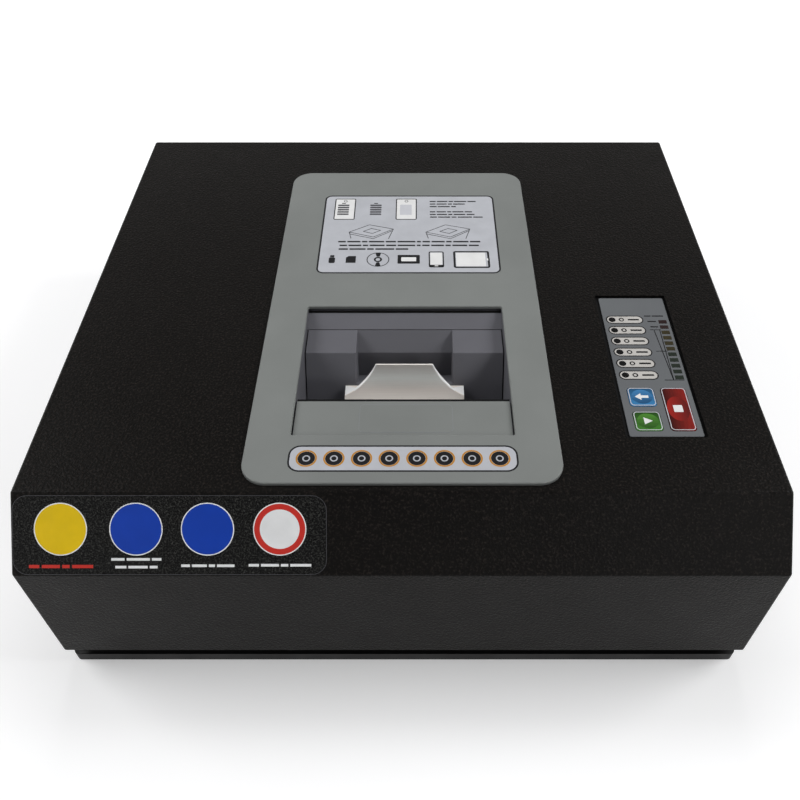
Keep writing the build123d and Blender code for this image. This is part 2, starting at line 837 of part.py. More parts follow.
def make_lid_handle():
    """The handle: a foot on the lid's face, a hollow blade up to the lip, its ends swept in to the lip."""
    seat_low = facet_point(handle_seat_end)
    seat_high = facet_point(handle_seat_start)
    foot = facet_point(handle_seat_end, handle_base)
    foot_back = facet_point(handle_seat_start, handle_foot_reach)
    lip_front = (lid_front - handle_lip_forward, lid_top + handle_lip_rise)
    lip_back = (lip_front[0] + handle_blade, lip_front[1] - handle_lip_fall)
    outline = Polyline(foot_back, seat_high, seat_low, foot) + Line(lip_front, lip_back)
    outline += hollow_arc(foot, lip_front, handle_hollow)
    outline += hollow_arc(foot_back, lip_back, handle_back_hollow)
    half = handle_width / 2
    plane = Plane(origin=(-half, 0, 0), x_dir=(0, 1, 0), z_dir=(1, 0, 0))
    handle = extrude(plane * make_face(outline), amount=handle_width)
    low = foot[1] + handle_end_rise
    waist = (handle_waist_width / 2, foot[1] + handle_waist_rise)
    high = lip_front[1]
    lip_half = handle_lip_width / 2
    sweep = ThreePointArc((half, low), waist, (lip_half, high))
    above = high + handle_base
    beside = half + handle_base
    outside = Polyline((lip_half, high), (lip_half, above), (beside, above), (beside, low), (half, low))
    view = Plane(origin=(0, lid_front, 0), x_dir=(1, 0, 0), z_dir=(0, -1, 0))
    end = extrude(view * make_face(sweep + outside), amount=facet_length, both=True)
    handle -= end + mirrored(end)
    handle = chamfer(swept_edges(handle, lip_half, half), handle_edge)
    return handle - handle_screw_holes()


def swept_edges(handle, inner, outer):
    """The front edge of the swept cut at each end of the handle."""
    swept = [edge for edge in handle.edges() if inner < abs(edge.center().X) < outer]
    front = min(edge.center().Y for edge in swept)
    return [edge for edge in swept if edge.center().Y < front + handle_blade / 2]


def make_end_plate():
    """The right end plate of the cutter block."""
    plate = block(plate_inner, plate_outer, plate_front, plate_back, pan_floor, plate_top)
    bores = [(bearing_radius, front_axis, cutter_z), (bearing_radius, rear_axis, cutter_z)]
    bores += [(tie_rod_radius, y, z) for y, z in tie_rod_places()]
    bores += [(hopper_screw_radius, y, z) for y, z in hopper_screw_places()]
    for radius, y, z in bores:
        plate -= rod_x(radius + seat_gap, plate_inner - cut_margin, plate_outer + cut_margin, y, z)
    return plate


def tie_rod_places():
    """The three rods between the end plates: two low, one high in front."""
    low = pan_floor + tie_rod_rise
    high = chute_bottom - tie_rod_drop
    front = front_axis - tie_rod_reach
    return ((front, low), (rear_axis + tie_rod_reach, low), (front, high))


def make_tie_rods():
    """Rods that hold the end plates apart, with a nut at each end outside the plates."""
    rods = []
    for y, z in tie_rod_places():
        rod = rod_x(tie_rod_radius, -plate_outer, plate_outer, y, z)
        nut = hex_bar(tie_nut_flats, plate_outer, plate_outer + tie_nut, y, z)
        rods.append(rod + nut + mirrored(nut))
    return rods


def make_bearings():
    """A plain bearing for each end of each shaft."""
    bearings = []
    for y in (front_axis, rear_axis):
        ring = rod_x(bearing_radius, plate_inner, plate_outer, y, cutter_z)
        ring -= rod_x(journal_radius + running_gap, plate_inner, plate_outer, y, cutter_z)
        bearings += [ring, mirrored(ring)]
    return bearings


def make_hopper_screws():
    """Headless screws through the end plates into the hopper cheeks."""
    screws = []
    for y, z in hopper_screw_places():
        screw = rod_x(hopper_screw_radius, cheek_outer - hopper_screw_depth, plate_outer, y, z)
        screws += [screw, mirrored(screw)]
    return screws


def make_gearbox_bracket():
    """An angle on the pan that carries the gearbox beside the large gear."""
    half = gearbox_radius + bracket_foot / 2
    front = pinion_y - half
    back = pinion_y + half
    plate = block(-gearbox_start, -bracket_face, front, back, pan_floor, pinion_z + half)
    plate += block(-gearbox_start - bracket_foot, -gearbox_start, front, back,
                   pan_floor, pan_floor + gearbox_bracket)
    hole = motor_shaft_radius + shaft_hole_gap
    return plate - rod_x(hole, -gearbox_start, -bracket_face, pinion_y, pinion_z)


def make_gearbox():
    """The round gearbox, bored for its output shaft."""
    case = rod_x(gearbox_radius, -motor_start, -gearbox_start, pinion_y, pinion_z)
    case = chamfer(case.edges().filter_by(GeomType.CIRCLE), bend_radius)
    return case - rod_x(motor_shaft_radius + running_gap, -motor_start, -gearbox_start, pinion_y, pinion_z)


def make_motor():
    """The motor's round case with a smaller end cap."""
    case = rod_x(motor_radius, -motor_end, -motor_start, pinion_y, pinion_z)
    case = chamfer(case.edges().filter_by(GeomType.CIRCLE), bend_radius)
    return case + rod_x(motor_cap_radius, -motor_end - motor_cap, -motor_end, pinion_y, pinion_z)


def make_motor_cradle():
    """Two ribs with round seats on a foot plate, under the motor."""
    seat = rod_x(motor_radius + seat_gap, -motor_end, -motor_start, pinion_y, pinion_z)
    front = pinion_y - cradle_width / 2
    back = pinion_y + cradle_width / 2
    left = -motor_end + cradle_inset
    right = -motor_start - cradle_inset
    cradle = block(left, right, front, back, pan_floor, pan_floor + cradle_rib)
    for x in (left, right - cradle_rib):
        cradle += block(x, x + cradle_rib, front, back, pan_floor, pinion_z - motor_radius / 2)
    return cradle - seat


def make_motor_shaft():
    """The gearbox's output shaft."""
    return rod_x(motor_shaft_radius, -motor_start + bend_radius, -gear_start, pinion_y, pinion_z)


def key_places():
    """Each key's width, depth and middle; the tall key spans the two small ones beside it."""
    left = overlay_left + key_left_margin + small_key_width / 2
    right = overlay_right - key_right_margin - stop_key_width / 2
    front = overlay_front + key_front_margin
    start_y = front + small_key_depth / 2
    reverse_y = start_y + small_key_depth + key_row_gap
    return {"reverse_key": (small_key_width, small_key_depth, left, reverse_y),
            "start_key": (small_key_width, small_key_depth, left, start_y),
            "stop_key": (stop_key_width, stop_key_depth, right, front + stop_key_depth / 2)}


def key_holes(z_from, z_to):
    """The clear holes round the keys."""
    holes = []
    for width, depth, x, y in key_places().values():
        holes.append(plate_z(width + 2 * key_gap, depth + 2 * key_gap, key_corner, x, y, z_from, z_to))
    return holes


def lamp_places():
    """The status lamps, from the back of the panel to the front."""
    x = overlay_left + lamp_left_margin
    first = overlay_back - lamp_back_share * cutout_depth
    return [(x, first - place * lamp_pitch_share * cutout_depth) for place in range(lamp_count)]


def bar_lens(place, grow, z_from, z_to):
    """A segment of the load bar, counted from the back of the panel."""
    x = overlay_right - bar_right_margin - bar_width / 2
    y = overlay_back - (bar_back_share + place * bar_pitch_share) * cutout_depth
    half_x = bar_width / 2 + grow
    half_y = bar_height / 2 + grow
    return block(x - half_x, x + half_x, y - half_y, y + half_y, z_from, z_to)


def make_control_tray():
    """The tray under the panel's cut-out, with holes for the keys."""
    width = cutout_width + 2 * tray_flange
    depth = cutout_depth + 2 * tray_flange
    tray = plate_z(width, depth, tray_flange, panel_x, panel_y, tray_under, tray_top)
    tray -= plate_z(cutout_width, cutout_depth, sheet, panel_x, panel_y,
                    overlay_under, tray_top + cut_margin)
    return tray - key_holes(tray_under - cut_margin, overlay_under + cut_margin)


def make_control_overlay():
    """The panel's face, with holes for the keys, the lamps and the load bar."""
    under = overlay_under - cut_margin
    over = tray_top + cut_margin
    middle = (overlay_left + overlay_right) / 2
    face = plate_z(overlay_right - overlay_left, overlay_depth, sheet, middle, panel_y, overlay_under, tray_top)
    face -= key_holes(under, over)
    for x, y in lamp_places():
        face -= rod_z(lamp_radius + lens_gap, x, y, under, over)
    for place in range(bar_count):
        face -= bar_lens(place, lens_gap, under, over)
    return face


def make_status_lamps():
    """Round lenses of the status lamps."""
    return [rod_z(lamp_radius, x, y, overlay_under, tray_top + lens_stand) for x, y in lamp_places()]


def make_load_bar_lamps():
    """Small oblong lenses of the load bar."""
    return [bar_lens(place, 0, overlay_under, tray_top + lens_stand) for place in range(bar_count)]


def make_key(width, depth, x, y):
    """A key: a cap through the overlay and the tray, with a flange under the tray."""
    cap = plate_z(width, depth, key_corner - key_gap, x, y, tray_under - key_gap, tray_top + key_stand)
    cap = chamfer(cap.edges().group_by(Axis.Z)[-1], key_edge)
    flange_width = width + 2 * key_flange
    flange_depth = depth + 2 * key_flange
    return cap + plate_z(flange_width, flange_depth, key_corner, x, y,
                         key_under, key_under + key_flange_height)


def control_board_half():
    """Half the width and half the depth of the control board."""
    edge = tray_flange - control_board_margin
    return cutout_width / 2 + edge, cutout_depth / 2 + edge


def make_control_board():
    """The board under the tray."""
    half_x, half_y = control_board_half()
    return block(panel_x - half_x, panel_x + half_x, panel_y - half_y, panel_y + half_y,
                 board_top - board_thickness, board_top)


def make_board_standoffs():
    """Four pillars between the tray and the control board."""
    half_x, half_y = control_board_half()
    reach_x = half_x - board_standoff_radius
    reach_y = half_y - board_standoff_radius
    pillars = []
    for x in (panel_x - reach_x, panel_x + reach_x):
        for y in (panel_y - reach_y, panel_y + reach_y):
            pillars.append(rod_z(board_standoff_radius, x, y, board_top, tray_under))
    return pillars


def make_key_switches():
    """A small switch on the board under each key."""
    top = key_under - key_travel - switch_gap
    switches = []
    half = switch_side / 2
    for width, depth, x, y in key_places().values():
        switches.append(block(x - half, x + half, y - half, y + half, board_top, top))
    return switches


def power_board_box():
    """The power board's left, right, front and back edges."""
    half = power_board_width / 2
    back = hood_back - power_board_setback
    return power_board_x - half, power_board_x + half, back - power_board_depth, back


def make_power_board():
    """The power board over the pan's floor."""
    low = pan_floor + power_standoff_height
    return block(*power_board_box(), low, low + board_thickness)


def make_power_standoffs():
    """Four pillars under the power board."""
    left, right, front, back = power_board_box()
    inset = 2 * board_standoff_radius
    pillars = []
    for x in (left + inset, right - inset):
        for y in (front + inset, back - inset):
            pillars.append(rod_z(board_standoff_radius, x, y, pan_floor, pan_floor + power_standoff_height))
    return pillars


def make_transformer():
    """The transformer on the power board: a core of plates, its winding bulging in front and behind."""
    left, right, front, back = power_board_box()
    x = (left + right) / 2
    y = (front + back) / 2
    low = pan_floor + power_standoff_height + board_thickness
    half = transformer_width / 2
    core = block(x - half, x + half, y - transformer_core_depth / 2, y + transformer_core_depth / 2,
                 low, low + transformer_height)
    half -= transformer_leg_width
    return core + block(x - half, x + half, y - transformer_depth / 2, y + transformer_depth / 2,
                        low, low + transformer_height - transformer_leg_width)


def make_capacitor():
    """The motor's run capacitor, standing on the pan, with two blade terminals."""
    y = hood_back - capacitor_setback
    top = pan_floor + capacitor_height
    can = rod_z(capacitor_radius, capacitor_x, y, pan_floor, top)
    can = chamfer(can.edges().filter_by(GeomType.CIRCLE), capacitor_edge)
    for x in (capacitor_x - terminal_pitch / 2, capacitor_x + terminal_pitch / 2):
        can += block(x - terminal_thickness / 2, x + terminal_thickness / 2, y - terminal_width / 2,
                     y + terminal_width / 2, top, top + terminal_height)
    return can


def make_entry_plate():
    """The upright plate behind the hood's cut-out that carries the mains inlet and the power switch."""
    left = entry_x - entry_plate_width / 2
    right = entry_x + entry_plate_width / 2
    plate = block(left, right, entry_face - entry_plate, entry_face, pan_floor, entry_z + entry_plate_rise)
    plate += block(left, right, entry_face - entry_foot, entry_face, pan_floor, pan_floor + entry_plate)
    for offset_x, width, height in ((inlet_offset, inlet_body_width, inlet_body_height),
                                    (rocker_offset, rocker_body_width, rocker_body_height)):
        plate -= entry_block(offset_x, width + 2 * seat_gap, height + 2 * seat_gap,
                             entry_plate + cut_margin, cut_margin)
    return plate


def entry_block(offset_x, width, height, behind, before):
    """A box on the power entry, from behind the plate's outer face to before it."""
    x = entry_x + offset_x
    return block(x - width / 2, x + width / 2, entry_face - behind, entry_face + before,
                 entry_z - height / 2, entry_z + height / 2)


def make_mains_inlet():
    """A flanged inlet with an open socket and three blades."""
    inlet = entry_block(inlet_offset, inlet_flange_width, inlet_flange_height, 0, inlet_flange)
    inlet += entry_block(inlet_offset, inlet_body_width, inlet_body_height, inlet_body_depth, 0)
    inlet -= entry_block(inlet_offset, socket_width, socket_height, socket_depth - inlet_flange,
                         inlet_flange + cut_margin)
    back = entry_face + inlet_flange - socket_depth
    for step, rise in ((-1, -blade_drop), (0, blade_drop), (1, -blade_drop)):
        x = entry_x + inlet_offset + step * blade_pitch
        inlet += block(x - blade_width / 2, x + blade_width / 2, back, back + blade_length,
                       entry_z + rise - blade_height / 2, entry_z + rise + blade_height / 2)
    return inlet


def make_switch_body():
    """The power switch's frame and body, with a round seat for the rocker."""
    body = entry_block(rocker_offset, rocker_frame_width, rocker_frame_height, 0, inlet_flange)
    body += entry_block(rocker_offset, rocker_body_width, rocker_body_height, rocker_body_depth, 0)
    half = rocker_width / 2 + rocker_gap
    x = entry_x + rocker_offset
    seat = rod_x(rocker_radius + rocker_gap, x - half, x + half, rocker_axis_y(), entry_z)
    mouth = block(x - half, x + half, rocker_axis_y(), entry_face + inlet_flange + cut_margin,
                  entry_z - rocker_radius - rocker_gap, entry_z + rocker_radius + rocker_gap)
    return body - seat - mouth


def rocker_axis_y():
    """The rocker's axis lies behind the face of its frame."""
    return entry_face + inlet_flange + rocker_stand - rocker_radius / 2


def make_power_rocker():
    """The rocker: a round back and two flat faces that meet in a shallow valley, its upper half out."""
    x = entry_x + rocker_offset
    drum = rod_x(rocker_radius, x - rocker_width / 2, x + rocker_width / 2, rocker_axis_y(), entry_z)
    lean = math.radians(rocker_swing / 2)
    valley = rocker_radius / 4
    reach = 2 * rocker_radius
    cut = [(valley, 0)]
    for angle in (math.pi / 2 - 2 * lean, math.pi / 4, -math.pi / 4, -math.pi / 2):
        cut.append((valley + reach * math.cos(angle), reach * math.sin(angle)))
    points = [(rocker_axis_y() + y, entry_z + z) for y, z in cut]
    half = rocker_width / 2 + cut_margin
    return drum - prism_x(points, x - half, x + half)


def make_interlock_switch():
    """The switch beside the right pivot pin that senses the closed lid."""
    low = pivot_z + interlock_rise
    body = block(cheek_outer, cheek_outer + interlock_thickness, pivot_y - interlock_length / 2,
                 pivot_y + interlock_length / 2, low, low + interlock_height)
    plunger_x = cheek_outer + interlock_thickness / 2
    plunger = rod_z(plunger_radius, plunger_x, pivot_y, low - plunger_length, low)
    return body + plunger


journal_end = gear_end + stack_end
rear_discs, rear_spacers, rear_gaps = cutter_stack(rear_axis, 0.0, -1)
front_discs, front_spacers, front_gaps = cutter_stack(front_axis, disc_pitch / 2, 1)
right_cheek = make_hopper_cheek()
right_plate = make_end_plate()
gear_bore = journal_radius + seat_gap
pinion_bore = motor_shaft_radius + seat_gap
half_sync_tooth = 180.0 / sync_teeth
pinion_phase = pinion_direction + 180.0 + 180.0 / pinion_teeth

rear_sync = gear(sync_teeth, 180.0, gear_start, gear_end, rear_axis, cutter_z, gear_bore)
front_sync = gear(sync_teeth, half_sync_tooth, gear_start, gear_end, front_axis, cutter_z, gear_bore)
drive = gear(drive_teeth, pinion_direction, -gear_end, -gear_start, rear_axis, cutter_z, gear_bore)
pinion = gear(pinion_teeth, pinion_phase, -gear_end, -gear_start, pinion_y, pinion_z, pinion_bore)

pieces = {
    "hood": make_hood(),
    "hood_brackets": make_hood_brackets(),
    "hood_screws": make_hood_screws(),
    "base_pan": make_base_pan(),
    "discharge_collar": make_discharge_collar(),
    "bezel": make_bezel(),
    "sill_panel": make_sill_panel(),
    "hopper_front_wall": make_hopper_front_wall(),
    "hopper_rear_wall": make_hopper_rear_wall(),
    "hopper_right_cheek": right_cheek,
    "hopper_left_cheek": mirrored(right_cheek),
    "hopper_screws": make_hopper_screws(),
    "lid_shell": make_lid_shell(),
    "lid_handle": make_lid_handle(),
    "handle_screws": make_handle_screws(),
    "lid_pivot_pins": make_lid_pivot_pins(),
    "safety_flap": make_safety_flap(),
    "right_end_plate": right_plate,
    "left_end_plate": mirrored(right_plate),
    "tie_rods": make_tie_rods(),
    "shaft_bearings": make_bearings(),
    "front_comb": cleaning_comb(front_axis, -1, front_gaps),
    "rear_comb": cleaning_comb(rear_axis, 1, rear_gaps),
    "rear_shaft": cutter_shaft(rear_axis, -journal_end, journal_end),
    "rear_cutters": rear_discs,
    "rear_spacers": rear_spacers,
    "front_shaft": cutter_shaft(front_axis, -plate_outer, journal_end),
    "front_cutters": front_discs,
    "front_spacers": front_spacers,
    "rear_sync_gear": rear_sync,
    "front_sync_gear": front_sync,
    "drive_gear": drive,
    "motor_pinion": pinion,
    "motor_shaft": make_motor_shaft(),
    "gearbox_bracket": make_gearbox_bracket(),
    "gearbox": make_gearbox(),
    "motor": make_motor(),
    "motor_cradle": make_motor_cradle(),
    "run_capacitor": make_capacitor(),
    "control_tray": make_control_tray(),
    "control_overlay": make_control_overlay(),
    "status_lamps": make_status_lamps(),
    "load_bar_lamps": make_load_bar_lamps(),
    "control_board": make_control_board(),
    "board_standoffs": make_board_standoffs(),
    "key_switches": make_key_switches(),
    "power_board": make_power_board(),
    "power_board_standoffs": make_power_standoffs(),
    "power_transformer": make_transformer(),
    "power_entry_plate": make_entry_plate(),
    "mains_inlet": make_mains_inlet(),
    "power_switch_body": make_switch_body(),
    "power_rocker": make_power_rocker(),
    "lid_interlock_switch": make_interlock_switch(),
}
for key_name, key_size in key_places().items():
    pieces[key_name] = make_key(*key_size)

os.makedirs("parts", exist_ok=True)
for name, piece in pieces.items():
    solid = Compound(children=piece) if isinstance(piece, list) else piece
    export_step(solid, f"parts/{name}.step")
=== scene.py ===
import bmesh
import bpy
import json
import math
from mathutils import Matrix, Vector

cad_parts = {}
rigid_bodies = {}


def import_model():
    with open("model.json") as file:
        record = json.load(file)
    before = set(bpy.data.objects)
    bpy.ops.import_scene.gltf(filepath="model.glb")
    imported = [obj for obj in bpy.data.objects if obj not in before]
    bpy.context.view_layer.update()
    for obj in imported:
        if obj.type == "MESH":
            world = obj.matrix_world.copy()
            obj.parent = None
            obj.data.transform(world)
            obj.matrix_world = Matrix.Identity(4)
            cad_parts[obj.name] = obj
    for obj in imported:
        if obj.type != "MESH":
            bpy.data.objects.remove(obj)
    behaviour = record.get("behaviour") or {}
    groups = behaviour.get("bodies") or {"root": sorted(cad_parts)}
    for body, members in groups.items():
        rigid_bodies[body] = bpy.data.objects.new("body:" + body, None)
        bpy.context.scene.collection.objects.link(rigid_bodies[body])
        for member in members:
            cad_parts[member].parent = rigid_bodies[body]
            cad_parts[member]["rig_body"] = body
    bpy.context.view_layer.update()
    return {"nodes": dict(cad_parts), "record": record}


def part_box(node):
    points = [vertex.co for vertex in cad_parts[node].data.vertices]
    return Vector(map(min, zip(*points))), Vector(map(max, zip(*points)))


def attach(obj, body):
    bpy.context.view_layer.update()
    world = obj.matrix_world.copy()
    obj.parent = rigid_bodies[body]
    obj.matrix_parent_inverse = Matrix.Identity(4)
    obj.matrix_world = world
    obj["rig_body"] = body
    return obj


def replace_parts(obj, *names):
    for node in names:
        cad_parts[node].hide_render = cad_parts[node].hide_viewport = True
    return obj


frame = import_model()

MM = 0.001

# Camera, at the photograph's viewing angle
CAMERA_PLACE = (0.0102, -0.5034, 0.5854)
CAMERA_TILT = math.radians(42.63)
CAMERA_LENS = 36.72
CAMERA_SHIFT = -0.0225

# Studio: light from the white world all round, half the floor's side, what the lamps point at
WORLD_LIGHT = 0.12
FLOOR_HALF = 6.0
LAMP_AIM = (0, 0, 0.1)

# Lamps: place, side and power
LAMPS = {
    "left_lamp": ((-1.35, 0.15, 1.3), 0.8, 14),
    "right_lamp": ((1.35, 0.0, 1.25), 0.8, 16),
    "overhead_lamp": ((0.0, 0.75, 1.7), 0.9, 10),
    "front_left_lamp": ((-1.2, -1.5, 1.0), 0.5, 2.3),
    "front_right_lamp": ((0.85, -1.6, 1.0), 0.3, 3.9),
}

# Nodes shown as smoothed copies, with the width of their softened edges, and how the copies are made
SOFT_EDGES = {"lid_handle": 0.25 * MM, "lid_shell": 0.3 * MM, "hood": 0, "bezel": 0, "base_pan": 0}
HARD_ANGLE = math.radians(30)
FLAT_ANGLE = math.radians(0.5)
MERGE_REACH = 0.002 * MM

# How far a face of the handle looks to the side before it counts as a cut end
CUT_END_TURN = 0.25

# Thickness of the films and of the ink on them, and how much each layer of ink stands over the last
FILM = 0.08 * MM
INK = 0.03 * MM
INK_STEP = 0.4 * INK

# Lines of printed bars: the bars' lengths and the gap between them, in heights of a bar
BAR_LENGTHS = (3.1, 5.4, 2.2, 6.3, 4.2, 7.4, 1.6)
BAR_GAP = 0.75

# Upper label on the bezel: its middle, its size, its border
UPPER_X = 2.5 * MM
UPPER_FRONT = 22.3 * MM
UPPER_SIZE = (151.2 * MM, 111.6 * MM)
UPPER_CORNER = 6 * MM
UPPER_BORDER = 1.35 * MM

# Drawings on the upper label, in millimetres: middles of the devices, housings, disc, reader and phone
DEVICE_Y = 112.8
FRAMED_X = (-54.7, -0.2)
STRIPED_X = (-56.1, -27.3)
STRIPES = 5
STRIPE_PITCH = 3.4
HOUSING_X = (-30, 36)
HOUSING_Y = 78.5
HOUSING_LINE = 0.55
DISC_MIDDLE = (-23, 40.4)
READER_MIDDLE = (2.5, 40.7)
PHONE_X = 25.4
PHONE_FOOT_Y = 32
TABLET_Y = 40.5

# Lines of bars on the upper label, in millimetres: from, to, height on the label and height of a bar
LABEL_LINES = ((20.7, 62, 124.6, 1.5), (20.7, 52, 120.6, 1.5), (20.7, 44, 116.6, 1.5),
               (20.7, 58, 108.6, 1.5), (20.7, 60, 104.6, 1.5), (20.7, 67, 100.6, 1.5),
               (-57.5, 63, 64.9, 1.9), (-56, 61.5, 59.7, 1.9), (-56.5, 2, 54.6, 1.9))

# Lower strip on the bezel, with its row of discs
STRIP_MIDDLE = (0.4 * MM, -169.8 * MM)
STRIP_SIZE = (151 * MM, 22 * MM)
STRIP_CORNER = 8 * MM
STRIP_BORDER = 1.2 * MM
STRIP_DISCS = 8
STRIP_PITCH = 18.1 * MM
STRIP_DISC_RADIUS = 7 * MM
STRIP_RING = 1.15 * MM
STRIP_DISC_GAP = 0.15 * MM
STRIP_HOLE_RADIUS = 2.6 * MM
STRIP_CORE_RADIUS = 1.7 * MM

# Film on the sill, and the black strip of painted shade along its back edge
SILL_FILM_SIZE = (64.5 * MM, 26 * MM)
SILL_FILM_X = 2 * MM
SILL_FILM_CORNER = 3.5 * MM
SILL_RIM = 0.25 * MM
SILL_SHADE_STRIP = 1.8 * MM

# Film on the left end of the sloped front edge, and its four signs
SLOPE_RUN = 38 * MM
SLOPE_RISE = 38 * MM
SLOPE_FILM_LEFT = 1.6 * MM
SLOPE_FILM_RIGHT = -48 * MM
SLOPE_FILM_HEIGHT = 51 * MM
SLOPE_FILM_CORNER = 9.5 * MM
SLOPE_FILM_DROP = 0.8 * MM
# Width of the grey line round the film's edge, a painted highlight of that edge
SLOPE_HIGHLIGHT_LINE = 0.3 * MM
SIGN_PLACES = (-217.6 * MM, -169.5 * MM, -123.9 * MM, -77.9 * MM)
SIGN_RADIUS = 17 * MM
SIGN_RISE = 3.85 * MM
SIGN_BORDER = 0.7 * MM
SIGN_RED_INSET = 4.3 * MM
SIGN_STEPS = 64

# Lines of bars under the signs: the sign, half the line's length and its rise over the red line
CAPTIONS = ((1, 16 * MM, 4.6 * MM), (1, 13.5 * MM, -0.4 * MM), (2, 17 * MM, 0.5 * MM),
            (3, 20 * MM, 0.8 * MM))
CAPTION_DROP = 24 * MM
CAPTION_HEIGHT = 1.7 * MM
RED_CAPTION_HALF = 20.5 * MM
RED_CAPTION_HEIGHT = 2.1 * MM

# Foam strip between the hood's inner face and the outer face of the pan's upstand
HOOD_SHEET = 1.5 * MM
UPSTAND_INSET = 5 * MM
FOAM_HEIGHT = 5 * MM
FOAM_GAP = 0.2 * MM

# Dark strip along the top of the hopper's rear lip: painted shade under the bezel's edge
LIP_COVER = 4 * MM
LIP_RECESS = 2 * MM
LIP_GAP = 0.8 * MM
LIP_SHADE_WIDTH = 2 * MM

# Pills round the status lamps, the mark on each and its bar
LAMP_COUNT = 6
LAMP_RIM = 2.7 * MM
PILL_SIZE = (28.9 * MM, 9.3 * MM)
PILL_OFFSET = 9.7 * MM
PILL_BORDER = 0.95 * MM
PILL_END_GAP = 0.01 * MM
PILL_MARK_X = 7.2 * MM
PILL_MARK_RADII = (2.1 * MM, 1.1 * MM)
PILL_MARK_STEPS = 20
PILL_MARK_TOP = 1.6 * INK
PILL_BAR_ENDS = (12.2 * MM, 20.8 * MM)
PILL_BAR_HEIGHT = 1.7 * MM

# Scale beside the load bar: three level lines, two slanting ones and short lines of bars at its head
SCALE_LINE = 0.7 * MM
SCALE_HEAD_DROP = 11 * MM
SCALE_FOOT_DROP = 0.8 * MM
SCALE_MIDDLE_SHARE = 0.44
SCALE_REACHES = (8.5 * MM, 8.2 * MM, 8.2 * MM)
SCALE_SLANTS = (5.4 * MM, 1 * MM)
SCALE_SLANT_FOOT = 1.6 * MM
SCALE_BARS = ((4.8 * MM, -10 * MM, 4.6 * MM), (-1.5 * MM, -8.5 * MM, -2 * MM),
              (-7.6 * MM, -7.4 * MM, -1.4 * MM))
SCALE_BAR_HEIGHT = 1.3 * MM

# Keys: their edge, the pale border on the face, and each key's slot and the radii of its lighter oval
KEY_FLANGE = 0.9 * MM
KEY_CHAMFER = 0.4 * MM
KEY_BORDER = 0.58 * MM
KEY_CORNER = 2.7 * MM
KEYS = {
    "reverse_key": ("key_blue", (7.4 * MM, 6.7 * MM)),
    "start_key": ("key_green", (7.4 * MM, 6.7 * MM)),
    "stop_key": ("key_red", (7.6 * MM, 11.4 * MM)),
}


def srgb(red, green, blue):
    """A colour as it is seen on a screen, 0 to 255, in Blender's linear values."""
    linear = []
    for part in (red, green, blue):
        share = part / 255
        linear.append(share / 12.92 if share <= 0.04045 else ((share + 0.055) / 1.055) ** 2.4)
    return (*linear, 1.0)


def dimmed(colour, share):
    """A share of a colour, still opaque."""
    return tuple(part * share for part in colour[:3]) + (1.0,)


def give(tree, value, socket):
    """Sets a socket to a value or links another node's output to it."""
    if isinstance(value, bpy.types.NodeSocket):
        tree.links.new(value, socket)
    else:
        socket.default_value = value


def add(tree, kind, settings=(), **inputs):
    """A node with its settings and its inputs; an input is a value or another node's output."""
    node = tree.nodes.new(kind)
    for key, value in dict(settings).items():
        setattr(node, key, value)
    for key, value in inputs.items():
        give(tree, value, node.inputs[key.replace("_", " ")])
    return node


def worked_out(tree, operation, *values):
    """What a sum gives, from values or other nodes' outputs."""
    node = add(tree, "ShaderNodeMath", {"operation": operation})
    for socket, value in zip(node.inputs, values):
        give(tree, value, socket)
    return node.outputs[0]


def mapped(tree, value, ends, new_ends=(0.0, 1.0)):
    """A value carried over from one range to another."""
    node = add(tree, "ShaderNodeMapRange", Value=value, From_Min=ends[0], From_Max=ends[1],
               To_Min=new_ends[0], To_Max=new_ends[1])
    return node.outputs[0]


def mix_colour(tree, factor, first, second):
    """A colour between two, by a factor."""
    node = add(tree, "ShaderNodeMix", {"data_type": "RGBA"})
    for place, value in ((0, factor), (6, first), (7, second)):
        give(tree, value, node.inputs[place])
    return node.outputs[2]


def colour_ramp(tree, share, stops, interpolation="LINEAR"):
    """A colour by a share, from stops in rising order."""
    node = add(tree, "ShaderNodeValToRGB", Fac=share)
    node.color_ramp.interpolation = interpolation
    while len(node.color_ramp.elements) < len(stops):
        node.color_ramp.elements.new(1.0)
    for element, (position, colour) in zip(node.color_ramp.elements, stops):
        element.position = position
        element.color = colour
    return node.outputs["Color"]


def surface_place(tree):
    """Where a point of the surface lies, in the object's frame."""
    return add(tree, "ShaderNodeTexCoord").outputs["Object"]


def share_along(tree, node_name, axis):
    """How far a point of the surface lies along a node's box, 0 to 1."""
    low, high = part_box(node_name)
    side = "XYZ".index(axis)
    along = add(tree, "ShaderNodeSeparateXYZ", Vector=surface_place(tree))
    return mapped(tree, along.outputs[axis], (low[side], high[side]))


def new_group(name, inputs, outputs):
    """An empty shader group with named sockets; returns its tree and its two end nodes."""
    tree = bpy.data.node_groups.new(name, "ShaderNodeTree")
    for label, kind, value in inputs:
        socket = tree.interface.new_socket(label, in_out="INPUT", socket_type=kind)
        socket.default_value = value
    for label in outputs:
        tree.interface.new_socket(label, in_out="OUTPUT", socket_type="NodeSocketFloat")
    return tree, tree.nodes.new("NodeGroupInput"), tree.nodes.new("NodeGroupOutput")


def noise(tree, place, scale, detail, roughness):
    """Cloudy noise at a place."""
    node = add(tree, "ShaderNodeTexNoise", Vector=place, Scale=scale, Detail=detail, Roughness=roughness)
    return node.outputs["Fac"]


def surface_grain_group():
    """Fine grain of a coat or a moulding: a height for bump and a mask of its crests."""
    inputs = [("Scale", "NodeSocketFloat", 900.0), ("Crest", "NodeSocketFloat", 0.62)]
    tree, start, end = new_group("surface_grain", inputs, ["Height", "Crest_mask"])
    place = surface_place(tree)
    scale = start.outputs["Scale"]
    fine = noise(tree, place, scale, 3.0, 0.6)
    cells = add(tree, "ShaderNodeTexVoronoi", {"feature": "SMOOTH_F1"}, Vector=place, Scale=scale)
    height = worked_out(tree, "MULTIPLY_ADD", cells.outputs["Distance"], 0.6, fine)
    tree.links.new(height, end.inputs["Height"])
    tree.links.new(mapped(tree, fine, (start.outputs["Crest"], 0.78)), end.inputs["Crest_mask"])
    return tree


